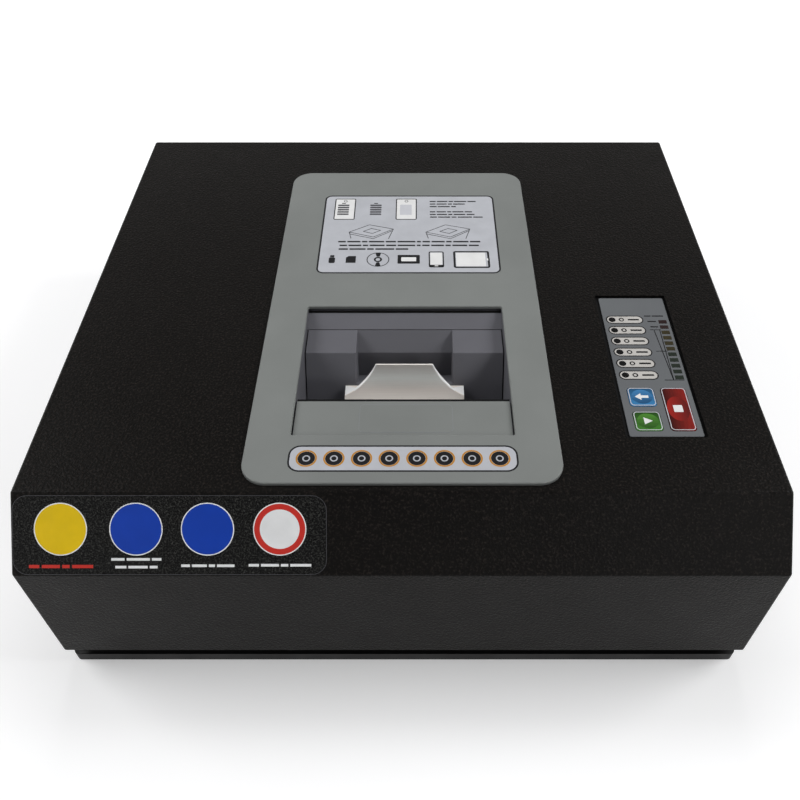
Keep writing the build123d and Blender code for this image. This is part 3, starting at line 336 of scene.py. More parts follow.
def slow_tone_group():
    """Slow, cloudy change over a surface, between two values."""
    inputs = [("Scale", "NodeSocketFloat", 20.0), ("Low", "NodeSocketFloat", 0.0),
              ("High", "NodeSocketFloat", 1.0)]
    tree, start, end = new_group("slow_tone", inputs, ["Tone"])
    cloud = noise(tree, surface_place(tree), start.outputs["Scale"], 4.0, 0.55)
    spread = mapped(tree, cloud, (0.3, 0.7), (start.outputs["Low"], start.outputs["High"]))
    tree.links.new(spread, end.inputs["Tone"])
    return tree


def brushed_lines_group():
    """Fine lines along one way, as drawing, brushing or turning leaves them."""
    inputs = [("Stretch", "NodeSocketVector", (1.0, 1.0, 1.0))]
    tree, start, end = new_group("brushed_lines", inputs, ["Line"])
    drawn = add(tree, "ShaderNodeVectorMath", {"operation": "MULTIPLY"})
    tree.links.new(surface_place(tree), drawn.inputs[0])
    tree.links.new(start.outputs["Stretch"], drawn.inputs[1])
    spread = mapped(tree, noise(tree, drawn.outputs[0], 1.0, 3.0, 0.65), (0.3, 0.7))
    tree.links.new(spread, end.inputs["Line"])
    return tree


SURFACE_GRAIN = surface_grain_group()
SLOW_TONE = slow_tone_group()
BRUSHED_LINES = brushed_lines_group()


def group(tree, shared, **inputs):
    """A shared group, placed in a material with its own values."""
    return add(tree, "ShaderNodeGroup", {"node_tree": shared}, **inputs)


def tone(tree, scale, low=0.0, high=1.0):
    """Slow tone between two values."""
    return group(tree, SLOW_TONE, Scale=scale, Low=low, High=high).outputs["Tone"]


def brushed(tree, stretch):
    """Brushed lines, drawn out by a stretch along each axis."""
    return group(tree, BRUSHED_LINES, Stretch=stretch).outputs["Line"]


def new_material(name):
    """An empty node material with its Principled shader and its output."""
    material = bpy.data.materials.new(name)
    material.use_nodes = True
    tree = material.node_tree
    tree.nodes.clear()
    shader = add(tree, "ShaderNodeBsdfPrincipled")
    output = add(tree, "ShaderNodeOutputMaterial")
    tree.links.new(shader.outputs[0], output.inputs["Surface"])
    return material, tree, shader


def dress(tree, shader, colour, rough, specular=0.5, metallic=0.0):
    """Gives a shader its colour, its roughness and its kind of gloss."""
    give(tree, colour, shader.inputs["Base Color"])
    give(tree, rough, shader.inputs["Roughness"])
    shader.inputs["Specular IOR Level"].default_value = specular
    shader.inputs["Metallic"].default_value = metallic


def give_bump(tree, shader, height, depth):
    """Bump from a height, so many metres deep."""
    bump = add(tree, "ShaderNodeBump", Height=height, Strength=1.0, Distance=depth)
    tree.links.new(bump.outputs[0], shader.inputs["Normal"])


def coat_finish(name, dark, light, rough, grain_scale, grain_depth, specular=0.5, tone_scale=14.0,
                fleck_and_glint=None, crest=0.62):
    """Paint, film or moulded plastic: cloudy tone, fine grain, uneven gloss and, where a colour is given, the
    grain's crests painted in it, which on the hood and the slope film are painted glints.
    """
    material, tree, shader = new_material(name)
    grain = group(tree, SURFACE_GRAIN, Scale=grain_scale, Crest=crest)
    colour = mix_colour(tree, tone(tree, tone_scale), dark, light)
    # Crests of the grain painted lighter; on the hood and the slope film, painted glints of the sheen
    if fleck_and_glint:
        colour = mix_colour(tree, grain.outputs["Crest_mask"], colour, fleck_and_glint)
    dress(tree, shader, colour, tone(tree, tone_scale * 3, *rough), specular)
    give_bump(tree, shader, grain.outputs["Height"], grain_depth)
    return material


def metal_finish(name, dark, light, rough, stretch, depth):
    """Bare metal with lines along one way."""
    material, tree, shader = new_material(name)
    lines = brushed(tree, stretch)
    colour = mix_colour(tree, worked_out(tree, "MULTIPLY", lines, tone(tree, 25.0)), dark, light)
    dress(tree, shader, colour, mapped(tree, lines, (0.0, 1.0), rough), metallic=1.0)
    give_bump(tree, shader, lines, depth)
    return material


def bar_finish():
    """Unlit lenses of the load bar: green, amber and red glass by their place along the panel."""
    material, tree, shader = new_material("bar_lens_glass")
    stops = ((0.0, srgb(38, 46, 38)), (0.45, srgb(58, 52, 32)), (0.81, srgb(44, 27, 25)))
    glass = colour_ramp(tree, share_along(tree, "load_bar_lamps", "Y"), stops, "CONSTANT")
    colour = mix_colour(tree, tone(tree, 260.0, 0.0, 0.35), glass, srgb(20, 20, 20))
    dress(tree, shader, colour, tone(tree, 120.0, 0.2, 0.32))
    return material


def plain_ink(name, colour):
    """Printed ink or film of one colour, with the faint unevenness of print."""
    return coat_finish(name, dimmed(colour, 0.9), colour, (0.38, 0.5), 2400.0, 0.004 * MM, specular=0.3,
                       tone_scale=60.0)


def key_film(name, key, axis, low_colour, high_colour):
    """Printed film over a key: its colour runs from one side to the other, with faint streaks."""
    material, tree, shader = new_material(name)
    run = mix_colour(tree, share_along(tree, key, axis), low_colour, high_colour)
    stretch = (1500.0, 90.0, 1.0) if axis == "X" else (90.0, 1500.0, 1.0)
    streak = mapped(tree, brushed(tree, stretch), (0.0, 1.0), (0.0, 0.36))
    colour = mix_colour(tree, streak, run, dimmed(low_colour, 0.4))
    dress(tree, shader, colour, tone(tree, 90.0, 0.36, 0.46), specular=0.22)
    grain = group(tree, SURFACE_GRAIN, Scale=1500.0)
    give_bump(tree, shader, grain.outputs["Height"], 0.012 * MM)
    return material


def handle_finish(name, brightness):
    """Satin anodised metal, drawn along its length, with painted reflections up its height: soft stripes of
    colour, lighter towards the top.
    """
    material, tree, shader = new_material(name)
    # Painted reflection: the stripes of colour and the lighter top stand in for the studio reflected in the
    # metal
    reflection_bands = ((0.0, (216, 213, 206)), (0.35, (244, 235, 227)),
             (0.6, (248, 250, 245)), (0.95, (250, 246, 240)))
    stops = []
    for position, colour in reflection_bands:
        stops.append((position, srgb(*(min(part * brightness, 250) for part in colour))))
    painted_reflection = colour_ramp(tree, share_along(tree, "lid_handle", "Z"), stops)
    lines = brushed(tree, (30.0, 2600.0, 2600.0))
    streak = mapped(tree, lines, (0.0, 1.0), (0.0, 0.08))
    colour = mix_colour(tree, streak, painted_reflection, srgb(120, 118, 112))
    dress(tree, shader, colour, mapped(tree, lines, (0.0, 1.0), (0.46, 0.56)), metallic=0.15)
    give_bump(tree, shader, lines, 0.004 * MM)
    return material


# Finishes of the record's slots
FINISHES = {
    # Hood coat: crests of its grain painted lighter, painted glints of its leathery sheen
    "hood_paint": coat_finish("hood_powder_coat", srgb(16, 15, 14), srgb(19, 18, 17), (0.34, 0.4), 640.0,
                              0.34 * MM, specular=0.07, fleck_and_glint=srgb(48, 43, 40), crest=0.51),
    "pan_paint": coat_finish("pan_satin_black", srgb(18, 18, 18), srgb(25, 25, 25), (0.4, 0.52), 1500.0,
                             0.03 * MM, specular=0.2),
    "bezel_grey": coat_finish("bezel_grey_coat", srgb(119, 122, 120), srgb(126, 129, 127), (0.44, 0.5),
                              1900.0, 0.02 * MM, specular=0.25),
    "lid_plastic": coat_finish("lid_grey_moulding", srgb(92, 92, 97), srgb(99, 99, 105), (0.46, 0.54),
                               1600.0, 0.03 * MM, specular=0.4),
    "handle_aluminium": handle_finish("handle_anodised_aluminium", 1.0),
    "zinc_sheet": metal_finish("zinc_plated_sheet", srgb(116, 118, 117), srgb(144, 146, 144), (0.4, 0.55),
                               (420.0, 380.0, 60.0), 0.006 * MM),
    "steel": metal_finish("ground_steel", srgb(140, 141, 142), srgb(176, 177, 178), (0.28, 0.42),
                          (1600.0, 260.0, 260.0), 0.005 * MM),
    "cutter_steel": metal_finish("hardened_cutter_steel", srgb(104, 104, 108), srgb(150, 150, 152),
                                 (0.26, 0.4), (1300.0, 220.0, 220.0), 0.006 * MM),
    "screw_steel": metal_finish("blackened_screw_steel", srgb(52, 52, 54), srgb(78, 78, 80), (0.35, 0.5),
                                (700.0, 700.0, 700.0), 0.004 * MM),
    "motor_paint": coat_finish("motor_grey_paint", srgb(58, 61, 64), srgb(68, 71, 74), (0.4, 0.55), 900.0,
                               0.05 * MM),
    "capacitor_can": metal_finish("drawn_aluminium_can", srgb(168, 170, 172), srgb(196, 198, 200),
                                  (0.24, 0.36), (900.0, 900.0, 40.0), 0.004 * MM),
    "board_green": coat_finish("board_solder_mask", srgb(16, 66, 42), srgb(22, 80, 52), (0.3, 0.42), 500.0,
                               0.02 * MM, fleck_and_glint=srgb(40, 104, 74)),
    "black_plastic": coat_finish("black_moulded_plastic", srgb(11, 11, 12), srgb(17, 17, 18), (0.42, 0.55),
                                 1400.0, 0.03 * MM, specular=0.25),
    "overlay_grey": coat_finish("overlay_grey_film", srgb(97, 99, 102), srgb(103, 106, 108), (0.36, 0.44),
                                2100.0, 0.012 * MM, specular=0.3),
    "lens_black": coat_finish("lamp_smoked_lens", srgb(14, 14, 15), srgb(30, 28, 28), (0.12, 0.24), 700.0,
                              0.01 * MM),
    "bar_lens": bar_finish(),
    "key_blue": key_film("key_blue_film", "reverse_key", "Y", srgb(62, 132, 186), srgb(28, 66, 98)),
    "key_green": key_film("key_green_film", "start_key", "Y", srgb(68, 128, 46), srgb(26, 52, 20)),
    "key_red": key_film("key_red_film", "stop_key", "X", srgb(38, 13, 12), srgb(146, 36, 30)),
}

# Films, inks, black foam, which also makes the painted shade on the hopper's lip, the handle's cut ends and
# the keys' lighter ovals
WHITE_FILM = plain_ink("label_white_film", srgb(182, 184, 190))
BLACK_INK = plain_ink("print_black_ink", srgb(27, 27, 29))
GREY_INK = plain_ink("print_grey_ink", srgb(76, 76, 80))
PALE_INK = plain_ink("print_pale_grey_ink", srgb(196, 197, 203))
WHITE_INK = plain_ink("print_white_ink", srgb(226, 226, 226))
SIGN_WHITE = plain_ink("sign_white_ink", srgb(246, 247, 248))
PILL_FILM = plain_ink("pill_warm_white_film", srgb(188, 185, 181))
RIM_INK = plain_ink("film_rim_grey_ink", srgb(134, 137, 140))
GOLD_INK = plain_ink("print_gold_ink", srgb(184, 128, 46))
YELLOW_INK = plain_ink("sign_yellow_ink", srgb(240, 202, 0))
BLUE_INK = plain_ink("sign_blue_ink", srgb(6, 62, 176))
RED_INK = plain_ink("sign_red_ink", srgb(208, 50, 40))
# Slope film: crests of its grain painted lighter, painted sparkle of its sheen
SLOPE_FILM = coat_finish("slope_black_film", srgb(9, 9, 9), srgb(12, 12, 11), (0.2, 0.28), 900.0, 0.4 * MM,
                         specular=0.15, fleck_and_glint=srgb(72, 72, 69), crest=0.51)
CLEAR_FILM = coat_finish("sill_clear_film", srgb(118, 121, 119), srgb(124, 127, 125), (0.26, 0.34), 1700.0,
                         0.02 * MM, specular=0.35)
# Black foam; the same black makes the strip of painted shade on the hopper's lip
BLACK_FOAM_AND_SHADE = coat_finish("gap_black_foam_and_painted_shade", srgb(13, 13, 13), srgb(19, 19, 19), (0.86, 0.96), 1500.0, 0.25 * MM,
                   specular=0.05)
# Cut ends: bare metal, brighter, carrying the same painted reflections
CUT_METAL = handle_finish("handle_cut_aluminium", 1.3)
KEY_DOMES = {
    "reverse_key": key_film("key_blue_dome", "reverse_key", "Y", srgb(24, 62, 98), srgb(74, 140, 196)),
    "start_key": key_film("key_green_dome", "start_key", "Y", srgb(32, 66, 24), srgb(86, 148, 56)),
    "stop_key": key_film("key_red_dome", "stop_key", "X", srgb(166, 40, 33), srgb(54, 18, 17)),
}

# Every node takes the finish of its slot
SLOTS = {subpart["node"]: subpart["material_slot"] for subpart in frame["record"]["subparts"]}
for painted_node, painted_slot in SLOTS.items():
    cad_node = frame["nodes"][painted_node]
    if not cad_node.material_slots:
        cad_node.data.materials.append(FINISHES[painted_slot])
    for holder in cad_node.material_slots:
        holder.material = FINISHES[painted_slot]


def rounded(x, y, width, depth, corner, steps=6):
    """Points round an oblong with round corners, anticlockwise."""
    points = []
    for quarter, (side_x, side_y) in enumerate(((1, 1), (-1, 1), (-1, -1), (1, -1))):
        middle_x = x + side_x * (width / 2 - corner)
        middle_y = y + side_y * (depth / 2 - corner)
        for step in range(steps + 1):
            angle = math.radians(90 * (quarter + step / steps))
            points.append((middle_x + corner * math.cos(angle), middle_y + corner * math.sin(angle)))
    return points


def ring(x, y, width, depth, corner, border):
    """An oblong with round corners and the same oblong drawn in by a border."""
    inner_corner = max(corner - border, 0.1 * MM)
    return [rounded(x, y, width, depth, corner),
            rounded(x, y, width - 2 * border, depth - 2 * border, inner_corner)]


def oval(x, y, radius_x, radius_y, steps=40):
    """Points round an oval, anticlockwise."""
    points = []
    for step in range(steps):
        angle = 2 * math.pi * step / steps
        points.append((x + radius_x * math.cos(angle), y + radius_y * math.sin(angle)))
    return points


def disc(x, y, radius, steps=40):
    """Points round a disc."""
    return oval(x, y, radius, radius, steps)


def disc_ring(x, y, outer, inner, steps=40):
    """A disc and the outline of its round hole."""
    return [disc(x, y, outer, steps), disc(x, y, inner, steps)]


def bar(x_from, x_to, y, thickness):
    """Points round a level bar."""
    half = thickness / 2
    return [(x_from, y - half), (x_to, y - half), (x_to, y + half), (x_from, y + half)]


def line(start, end, thickness):
    """Points round a straight line of ink between two points."""
    way = Vector(end) - Vector(start)
    side = Vector((-way.y, way.x)).normalized() * thickness / 2
    corners = [Vector(start) - side, Vector(end) - side, Vector(end) + side, Vector(start) + side]
    return [tuple(corner) for corner in corners]


def bar_row(x_from, x_to, y, height):
    """A line of plain bars of uneven length, stretched to fill the line."""
    width = (x_to - x_from) / height
    lengths = [BAR_LENGTHS[0]]
    following = BAR_LENGTHS[1]
    while sum(lengths) + BAR_GAP * len(lengths) + following <= width:
        lengths.append(following)
        following = BAR_LENGTHS[len(lengths) % len(BAR_LENGTHS)]
    stretch = (width - BAR_GAP * (len(lengths) - 1)) / sum(lengths)
    bars = []
    at = x_from
    for length in lengths:
        end = at + length * stretch * height
        bars.append(bar(at, end, y, height))
        at = end + BAR_GAP * height
    return bars


def mm_points(points):
    """Points given in millimetres."""
    return [(x * MM, y * MM) for x, y in points]


def mm_box(x, y, width, depth, corner):
    """A rounded oblong given in millimetres."""
    return rounded(x * MM, y * MM, width * MM, depth * MM, corner * MM)


def mm_frame(x, y, width, depth, corner, border):
    """A rounded frame given in millimetres."""
    return ring(x * MM, y * MM, width * MM, depth * MM, corner * MM, border * MM)


def mm_ring(x, y, outer, inner):
    """A round ring given in millimetres."""
    return disc_ring(x * MM, y * MM, outer * MM, inner * MM)


def thin_solids(shapes, low, high):
    """A mesh of flat closed solids; a shape is an outline, or an outline and the outline of its hole."""
    work = bmesh.new()
    for shape in shapes:
        outer, inner = shape if isinstance(shape[0], list) else (shape, None)
        outer_low = [work.verts.new((x, y, low)) for x, y in outer]
        outer_high = [work.verts.new((x, y, high)) for x, y in outer]
        count = len(outer)
        for place in range(count):
            after = (place + 1) % count
            work.faces.new((outer_low[place], outer_low[after], outer_high[after], outer_high[place]))
        if inner is None:
            work.faces.new(outer_high)
            work.faces.new(outer_low[::-1])
            continue
        inner_low = [work.verts.new((x, y, low)) for x, y in inner]
        inner_high = [work.verts.new((x, y, high)) for x, y in inner]
        for place in range(count):
            after = (place + 1) % count
            work.faces.new((inner_low[after], inner_low[place], inner_high[place], inner_high[after]))
            work.faces.new((outer_high[place], outer_high[after], inner_high[after], inner_high[place]))
            work.faces.new((outer_low[after], outer_low[place], inner_low[place], inner_low[after]))
    bmesh.ops.recalc_face_normals(work, faces=work.faces)
    mesh = bpy.data.meshes.new("flat_solids")
    work.to_mesh(mesh)
    work.free()
    return mesh


def piece(name, mesh, material, body):
    """A finished piece: named, painted and riding on its body."""
    mesh.name = name
    mesh.materials.clear()
    mesh.materials.append(material)
    obj = bpy.data.objects.new(name, mesh)
    bpy.context.scene.collection.objects.link(obj)
    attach(obj, body)
    return obj


def flat_piece(name, shapes, low, high, material, body="chassis"):
    """A film, a print or a strip: flat solids between two heights, as a finished piece."""
    return piece(name, thin_solids(shapes, low, high), material, body)


def with_modifier(mesh, kind, settings, inputs=()):
    """A new mesh: the given one with a modifier applied; inputs are those of a node tree."""
    holder = bpy.data.objects.new("modifier_holder", mesh)
    bpy.context.scene.collection.objects.link(holder)
    modifier = holder.modifiers.new("applied", kind)
    for key, value in settings.items():
        setattr(modifier, key, value)
    for identifier, value in dict(inputs).items():
        modifier[identifier] = value
    depsgraph = bpy.context.evaluated_depsgraph_get()
    result = bpy.data.meshes.new_from_object(holder.evaluated_get(depsgraph))
    holder.modifiers.remove(modifier)
    bpy.data.objects.remove(holder)
    return result


def row_tree():
    """Copies of the object's own mesh along a line, as one mesh."""
    tree = bpy.data.node_groups.new("row_of_copies", "GeometryNodeTree")
    sockets = {}
    for label, kind in (("Geometry", "NodeSocketGeometry"), ("Count", "NodeSocketInt"),
                        ("First", "NodeSocketVector"), ("Step", "NodeSocketVector"),
                        ("Finish", "NodeSocketMaterial")):
        sockets[label] = tree.interface.new_socket(label, in_out="INPUT", socket_type=kind).identifier
    tree.interface.new_socket("Geometry", in_out="OUTPUT", socket_type="NodeSocketGeometry")
    start = tree.nodes.new("NodeGroupInput")
    end = tree.nodes.new("NodeGroupOutput")
    places = add(tree, "GeometryNodeMeshLine", {"mode": "OFFSET"}, Count=start.outputs["Count"],
                 Start_Location=start.outputs["First"], Offset=start.outputs["Step"])
    copies = add(tree, "GeometryNodeInstanceOnPoints", Points=places.outputs[0],
                 Instance=start.outputs["Geometry"])
    real = add(tree, "GeometryNodeRealizeInstances", Geometry=copies.outputs[0])
    painted = add(tree, "GeometryNodeSetMaterial", Geometry=real.outputs[0], Material=start.outputs["Finish"])
    tree.links.new(painted.outputs[0], end.inputs[0])
    return tree, sockets


ROW_TREE, ROW_SOCKETS = row_tree()


def row_mesh(template, count, first, step, material):
    """The mesh of a row: the template copied count times, step apart."""
    values = {"Count": count, "First": first, "Step": step, "Finish": material}
    inputs = {ROW_SOCKETS[label]: value for label, value in values.items()}
    return with_modifier(template, "NODES", {"node_group": ROW_TREE}, inputs)


def smooth_copy(node_name, edge):
    """A CAD node's mesh, merged, its flats joined, its edges softened and its bends shaded smooth."""
    cad_object = frame["nodes"][node_name]
    work = bmesh.new()
    work.from_mesh(cad_object.data)
    bmesh.ops.remove_doubles(work, verts=work.verts, dist=MERGE_REACH)
    bmesh.ops.dissolve_limit(work, angle_limit=FLAT_ANGLE, verts=work.verts, edges=work.edges)
    if edge:
        hard = [e for e in work.edges if e.is_manifold and e.calc_face_angle(0) > HARD_ANGLE]
        bmesh.ops.bevel(work, geom=hard, offset=edge, segments=2, profile=0.5, affect="EDGES",
                        clamp_overlap=True)
    mesh = bpy.data.meshes.new(node_name + "_shown")
    work.to_mesh(mesh)
    work.free()
    mesh.shade_smooth()
    mesh.set_sharp_from_angle(angle=HARD_ANGLE)
    flat = with_modifier(mesh, "WEIGHTED_NORMAL", {"weight": 100, "keep_sharp": True})
    slot_name = SLOTS[node_name]
    obj = piece(node_name + "_shown", flat, FINISHES[slot_name], cad_object["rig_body"])
    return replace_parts(obj, node_name)


def paint_cut_ends(handle):
    """Bare bright metal on the swept ends of the handle."""
    handle.data.materials.append(CUT_METAL)
    for polygon in handle.data.polygons:
        if abs(polygon.normal.x) > CUT_END_TURN:
            polygon.material_index = 1


def housing_outline(x, y):
    """A line drawing of a low housing with a sloped front, seen from a corner, in millimetres."""
    corners = {"left": (-19, 0), "back": (-2, 10.6), "right": (19, 4.5), "front": (2, -7),
               "left_foot": (-17, -9), "right_foot": (15, -9.5), "left_fold": (-18.5, -2.6),
               "front_fold": (2, -9.4), "right_fold": (18.3, 2.2), "lid_left": (-7, 1),
               "lid_back": (0, 5.2), "lid_right": (8, 2.6), "lid_front": (1, -2)}
    runs = (("left", "back"), ("back", "right"), ("right", "front"), ("front", "left"),
            ("left", "left_foot"), ("right", "right_foot"), ("left_fold", "front_fold"),
            ("front_fold", "right_fold"), ("lid_left", "lid_back"), ("lid_back", "lid_right"),
            ("lid_right", "lid_front"), ("lid_front", "lid_left"))
    place = {key: ((x + a) * MM, (y + b) * MM) for key, (a, b) in corners.items()}
    return [line(place[start], place[end], HOUSING_LINE * MM) for start, end in runs]


def draw_devices(inks):
    """Two framed devices, stripes on the first and on a card beside it, and two housings."""
    inks["screens"].append(mm_box(-0.6, 111.8, 10.4, 15.6, 0.4))
    for x in FRAMED_X:
        inks["faces"].append(mm_box(x, DEVICE_Y, 16.8, 30.2, 0.8))
        inks["outlines"] += [mm_frame(x, DEVICE_Y, 18.6, 32, 1.5, 0.9), mm_ring(x, 125, 1.6, 1.1)]
    for x in STRIPED_X:
        inks["outlines"].append(mm_box(x, 121.6, 3.4, 1.2, 0.3))
        for stripe in range(STRIPES):
            inks["bars"].append(mm_box(x, 105 + STRIPE_PITCH * stripe, 10, 2.3, 0.4))
    for x in HOUSING_X:
        inks["outlines"] += housing_outline(x, HOUSING_Y)


def draw_media(inks):
    """A stick, a card, a disc, a reader, a phone and a tablet along the foot of the upper label."""
    stick = [mm_box(-61.2, 39.5, 5.2, 7.6, 1.6), mm_box(-61.2, 44.9, 3.4, 2.6, 0.4)]
    card = mm_points(((-49.6, 36), (-41.4, 36), (-41.4, 45), (-47.6, 45), (-49.6, 43)))
    disc_x, disc_y = DISC_MIDDLE
    media_disc = [mm_ring(disc_x, disc_y, 9.4, 8.7), mm_ring(disc_x, disc_y, 3.4, 1.9)]
    for way in (1, -1):
        wedge = ((-1.2, 3.8), (1.2, 3.8), (2.4, 8.9), (-2.4, 8.9))
        media_disc.append(mm_points([(disc_x + way * x, disc_y + way * y) for x, y in wedge]))
    reader = mm_box(*READER_MIDDLE, 18.4, 11.6, 0.8)
    phone = [mm_frame(PHONE_X, 40.6, 12.6, 21.2, 1.8, 1), mm_box(PHONE_X, PHONE_FOOT_Y, 10.6, 2.6, 0.3)]
    tablet = mm_frame(54.6, TABLET_Y, 30, 22.4, 2, 1.7)
    inks["outlines"] += [*stick, card, *media_disc, reader, *phone, tablet]
    inks["faces"] += [mm_box(PHONE_X, 41.4, 9.8, 16, 0.3), mm_box(54, TABLET_Y, 24.4, 18.2, 0.3)]
    inks["patches"] += [mm_box(*READER_MIDDLE, 12.4, 5.4, 0.6), mm_box(PHONE_X, PHONE_FOOT_Y, 3, 1.2, 0.3),
                        mm_box(67.8, TABLET_Y, 1.2, 3, 0.5)]


def make_upper_label():
    """White label with a black border: outlines of devices, lines of bars and a row of media."""
    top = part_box("bezel")[1].z
    sizes = (UPPER_X, UPPER_FRONT + UPPER_SIZE[1] / 2, *UPPER_SIZE, UPPER_CORNER)
    flat_piece("upper_label_film", [rounded(*sizes)], top, top + FILM, WHITE_FILM)
    layers = {"faces": WHITE_INK, "screens": PALE_INK, "bars": GREY_INK, "outlines": BLACK_INK,
              "patches": WHITE_INK}
    inks = {name: [] for name in layers}
    inks["outlines"].append(ring(*sizes, UPPER_BORDER))
    draw_devices(inks)
    draw_media(inks)
    for x_from, x_to, y, height in LABEL_LINES:
        inks["outlines"] += bar_row(x_from * MM, x_to * MM, y * MM, height * MM)
    low = top + FILM
    for rank, (name, ink) in enumerate(layers.items()):
        high = low + INK + rank * INK_STEP
        flat_piece("upper_label_" + name, inks[name], low, high, ink)


def make_lower_strip():
    """White strip with a black border and a row of gold-ringed dark discs."""
    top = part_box("bezel")[1].z
    sizes = (*STRIP_MIDDLE, *STRIP_SIZE, STRIP_CORNER)
    flat_piece("lower_strip_film", [rounded(*sizes)], top, top + FILM, WHITE_FILM)
    low = top + FILM
    border = ring(*sizes, STRIP_BORDER)
    flat_piece("lower_strip_border", [border], low, low + INK, BLACK_INK)
    first = (STRIP_MIDDLE[0] - STRIP_PITCH * (STRIP_DISCS - 1) / 2, STRIP_MIDDLE[1], 0)
    step = (STRIP_PITCH, 0, 0)
    inner = STRIP_DISC_RADIUS - STRIP_RING
    templates = (("rings", disc_ring(0, 0, STRIP_DISC_RADIUS, inner), GOLD_INK),
                 ("discs", disc_ring(0, 0, inner - STRIP_DISC_GAP, STRIP_HOLE_RADIUS), BLACK_INK),
                 ("cores", disc(0, 0, STRIP_CORE_RADIUS), BLACK_INK))
    for name, shape, ink in templates:
        mesh = row_mesh(thin_solids([shape], low, low + INK), STRIP_DISCS, first, step, ink)
        piece("lower_strip_" + name, mesh, ink, "chassis")


def make_sill_film():
    """Bare clear film on the sill, with a slightly raised rim, and a black strip of painted shade along its
    back edge.
    """
    low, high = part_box("sill_panel")
    top = high.z
    sizes = (SILL_FILM_X, (low.y + high.y) / 2, *SILL_FILM_SIZE, SILL_FILM_CORNER)
    flat_piece("sill_film", [rounded(*sizes)], top, top + FILM, CLEAR_FILM)
    rim = ring(*sizes, SILL_RIM)
    flat_piece("sill_film_rim", [rim], top + FILM, top + FILM + INK, RIM_INK)
    # Painted shade: a black strip where the gap behind the sill lies in shadow
    sill_shade = bar(low.x, high.x, high.y - SILL_SHADE_STRIP / 2, SILL_SHADE_STRIP)
    flat_piece("sill_edge_painted_shade", [sill_shade], top, top + FILM, FINISHES["black_plastic"])


def make_gap_foam():
    """Foam strip that closes the gap between the hood and the pan's upstand, all the way round."""
    outlines = []
    for node_name, inset in (("hood", HOOD_SHEET + FOAM_GAP), ("base_pan", UPSTAND_INSET - FOAM_GAP)):
        low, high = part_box(node_name)
        middle = (low + high) / 2
        size = high - low
        outlines.append(rounded(middle.x, middle.y, size.x - 2 * inset, size.y - 2 * inset, FOAM_GAP))
    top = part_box("base_pan")[1].z
    flat_piece("hood_gap_foam", [outlines], top - FOAM_HEIGHT, top, BLACK_FOAM_AND_SHADE)


def tilted(place, way):
    """A frame on a slope that runs from side to side: x along it, y up it, z out of it."""
    up = way.normalized()
    out = Vector((0, -up.z, up.y))
    turn = Matrix((Vector((1, 0, 0)), up, out)).transposed().to_4x4()
    return Matrix.Translation(place) @ turn


def make_lip_painted_shade():
    """Dark strip along the top of the hopper's rear lip, under the edge of the bezel: painted shade of that
    edge.
    """
    wall_low, wall_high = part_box("hopper_rear_wall")
    lid_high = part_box("lid_shell")[1]
    foot = Vector((0, lid_high.y + LIP_GAP, lid_high.z))
    top = Vector((0, wall_high.y - LIP_COVER, wall_high.z - LIP_RECESS))
    # Painted shade: a dark strip where the bezel's edge shades the lip
    strip = bar(wall_low.x + FOAM_GAP, wall_high.x - FOAM_GAP, -LIP_SHADE_WIDTH / 2, LIP_SHADE_WIDTH)
    mesh = thin_solids([strip], 0, FOAM_GAP)
    mesh.transform(tilted(top, top - foot))
    piece("hopper_lip_painted_shade", mesh, BLACK_FOAM_AND_SHADE, "chassis")


def slope_plane():
    """A frame on the hood's sloped front edge, from its lower edge, and the slope's length."""
    low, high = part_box("hood")
    way = Vector((0, SLOPE_RUN, SLOPE_RISE))
    return tilted(Vector((0, low.y, high.z - SLOPE_RISE)), way), way.length


def make_slope_film():
    """Black film on the sloped edge with four plain coloured signs and lines of bars under them."""
    place, length = slope_plane()
    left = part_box("hood")[0].x + SLOPE_FILM_LEFT
    width = SLOPE_FILM_RIGHT - left
    middle = length / 2 - SLOPE_FILM_DROP
    sizes = (left + width / 2, middle, width, SLOPE_FILM_HEIGHT, SLOPE_FILM_CORNER)
    y = middle + SIGN_RISE
    face = SIGN_RADIUS - SIGN_BORDER
    yellow, blue_left, blue_right = [disc(x, y, face, SIGN_STEPS) for x in SIGN_PLACES[:3]]
    red = disc_ring(SIGN_PLACES[3], y, face, SIGN_RADIUS - SIGN_RED_INSET, SIGN_STEPS)
    captions = []
    for sign, half, rise in CAPTIONS:
        x = SIGN_PLACES[sign]
        captions += bar_row(x - half, x + half, y - CAPTION_DROP + rise, CAPTION_HEIGHT)
    red_caption = bar_row(SIGN_PLACES[0] - RED_CAPTION_HALF, SIGN_PLACES[0] + RED_CAPTION_HALF,
                          y - CAPTION_DROP, RED_CAPTION_HEIGHT)
    print_low = FILM
    print_high = FILM + INK
    sign_high = FILM + 2 * INK
    layers = (
        ("slope_film", [rounded(*sizes)], SLOPE_FILM, 0, FILM),
        # Grey line round the film's edge: painted highlight
        ("slope_film_painted_highlight", [ring(*sizes, SLOPE_HIGHLIGHT_LINE)], GREY_INK, print_low, FILM + INK_STEP),
        ("sign_rims", [disc(x, y, SIGN_RADIUS, SIGN_STEPS) for x in SIGN_PLACES], SIGN_WHITE,
         print_low, print_high),
        ("sign_yellow", [yellow], YELLOW_INK, print_high, sign_high),
        ("sign_blue_left", [blue_left], BLUE_INK, print_high, sign_high),
        ("sign_blue_right", [blue_right], BLUE_INK, print_high, sign_high),
        ("sign_red_ring", [red], RED_INK, print_high, sign_high),
        ("sign_captions", captions, SIGN_WHITE, print_low, print_high),
        ("sign_caption_red", red_caption, RED_INK, print_low, print_high),
    )
    for name, shapes, ink, low, high in layers:
        mesh = thin_solids(shapes, low, high)
        mesh.transform(place)
        piece(name, mesh, ink, "chassis")


def pill(width, depth):
    """Points round a pill beside a lamp that lies at the origin."""
    return rounded(PILL_OFFSET, 0, width, depth, depth / 2 - PILL_END_GAP)


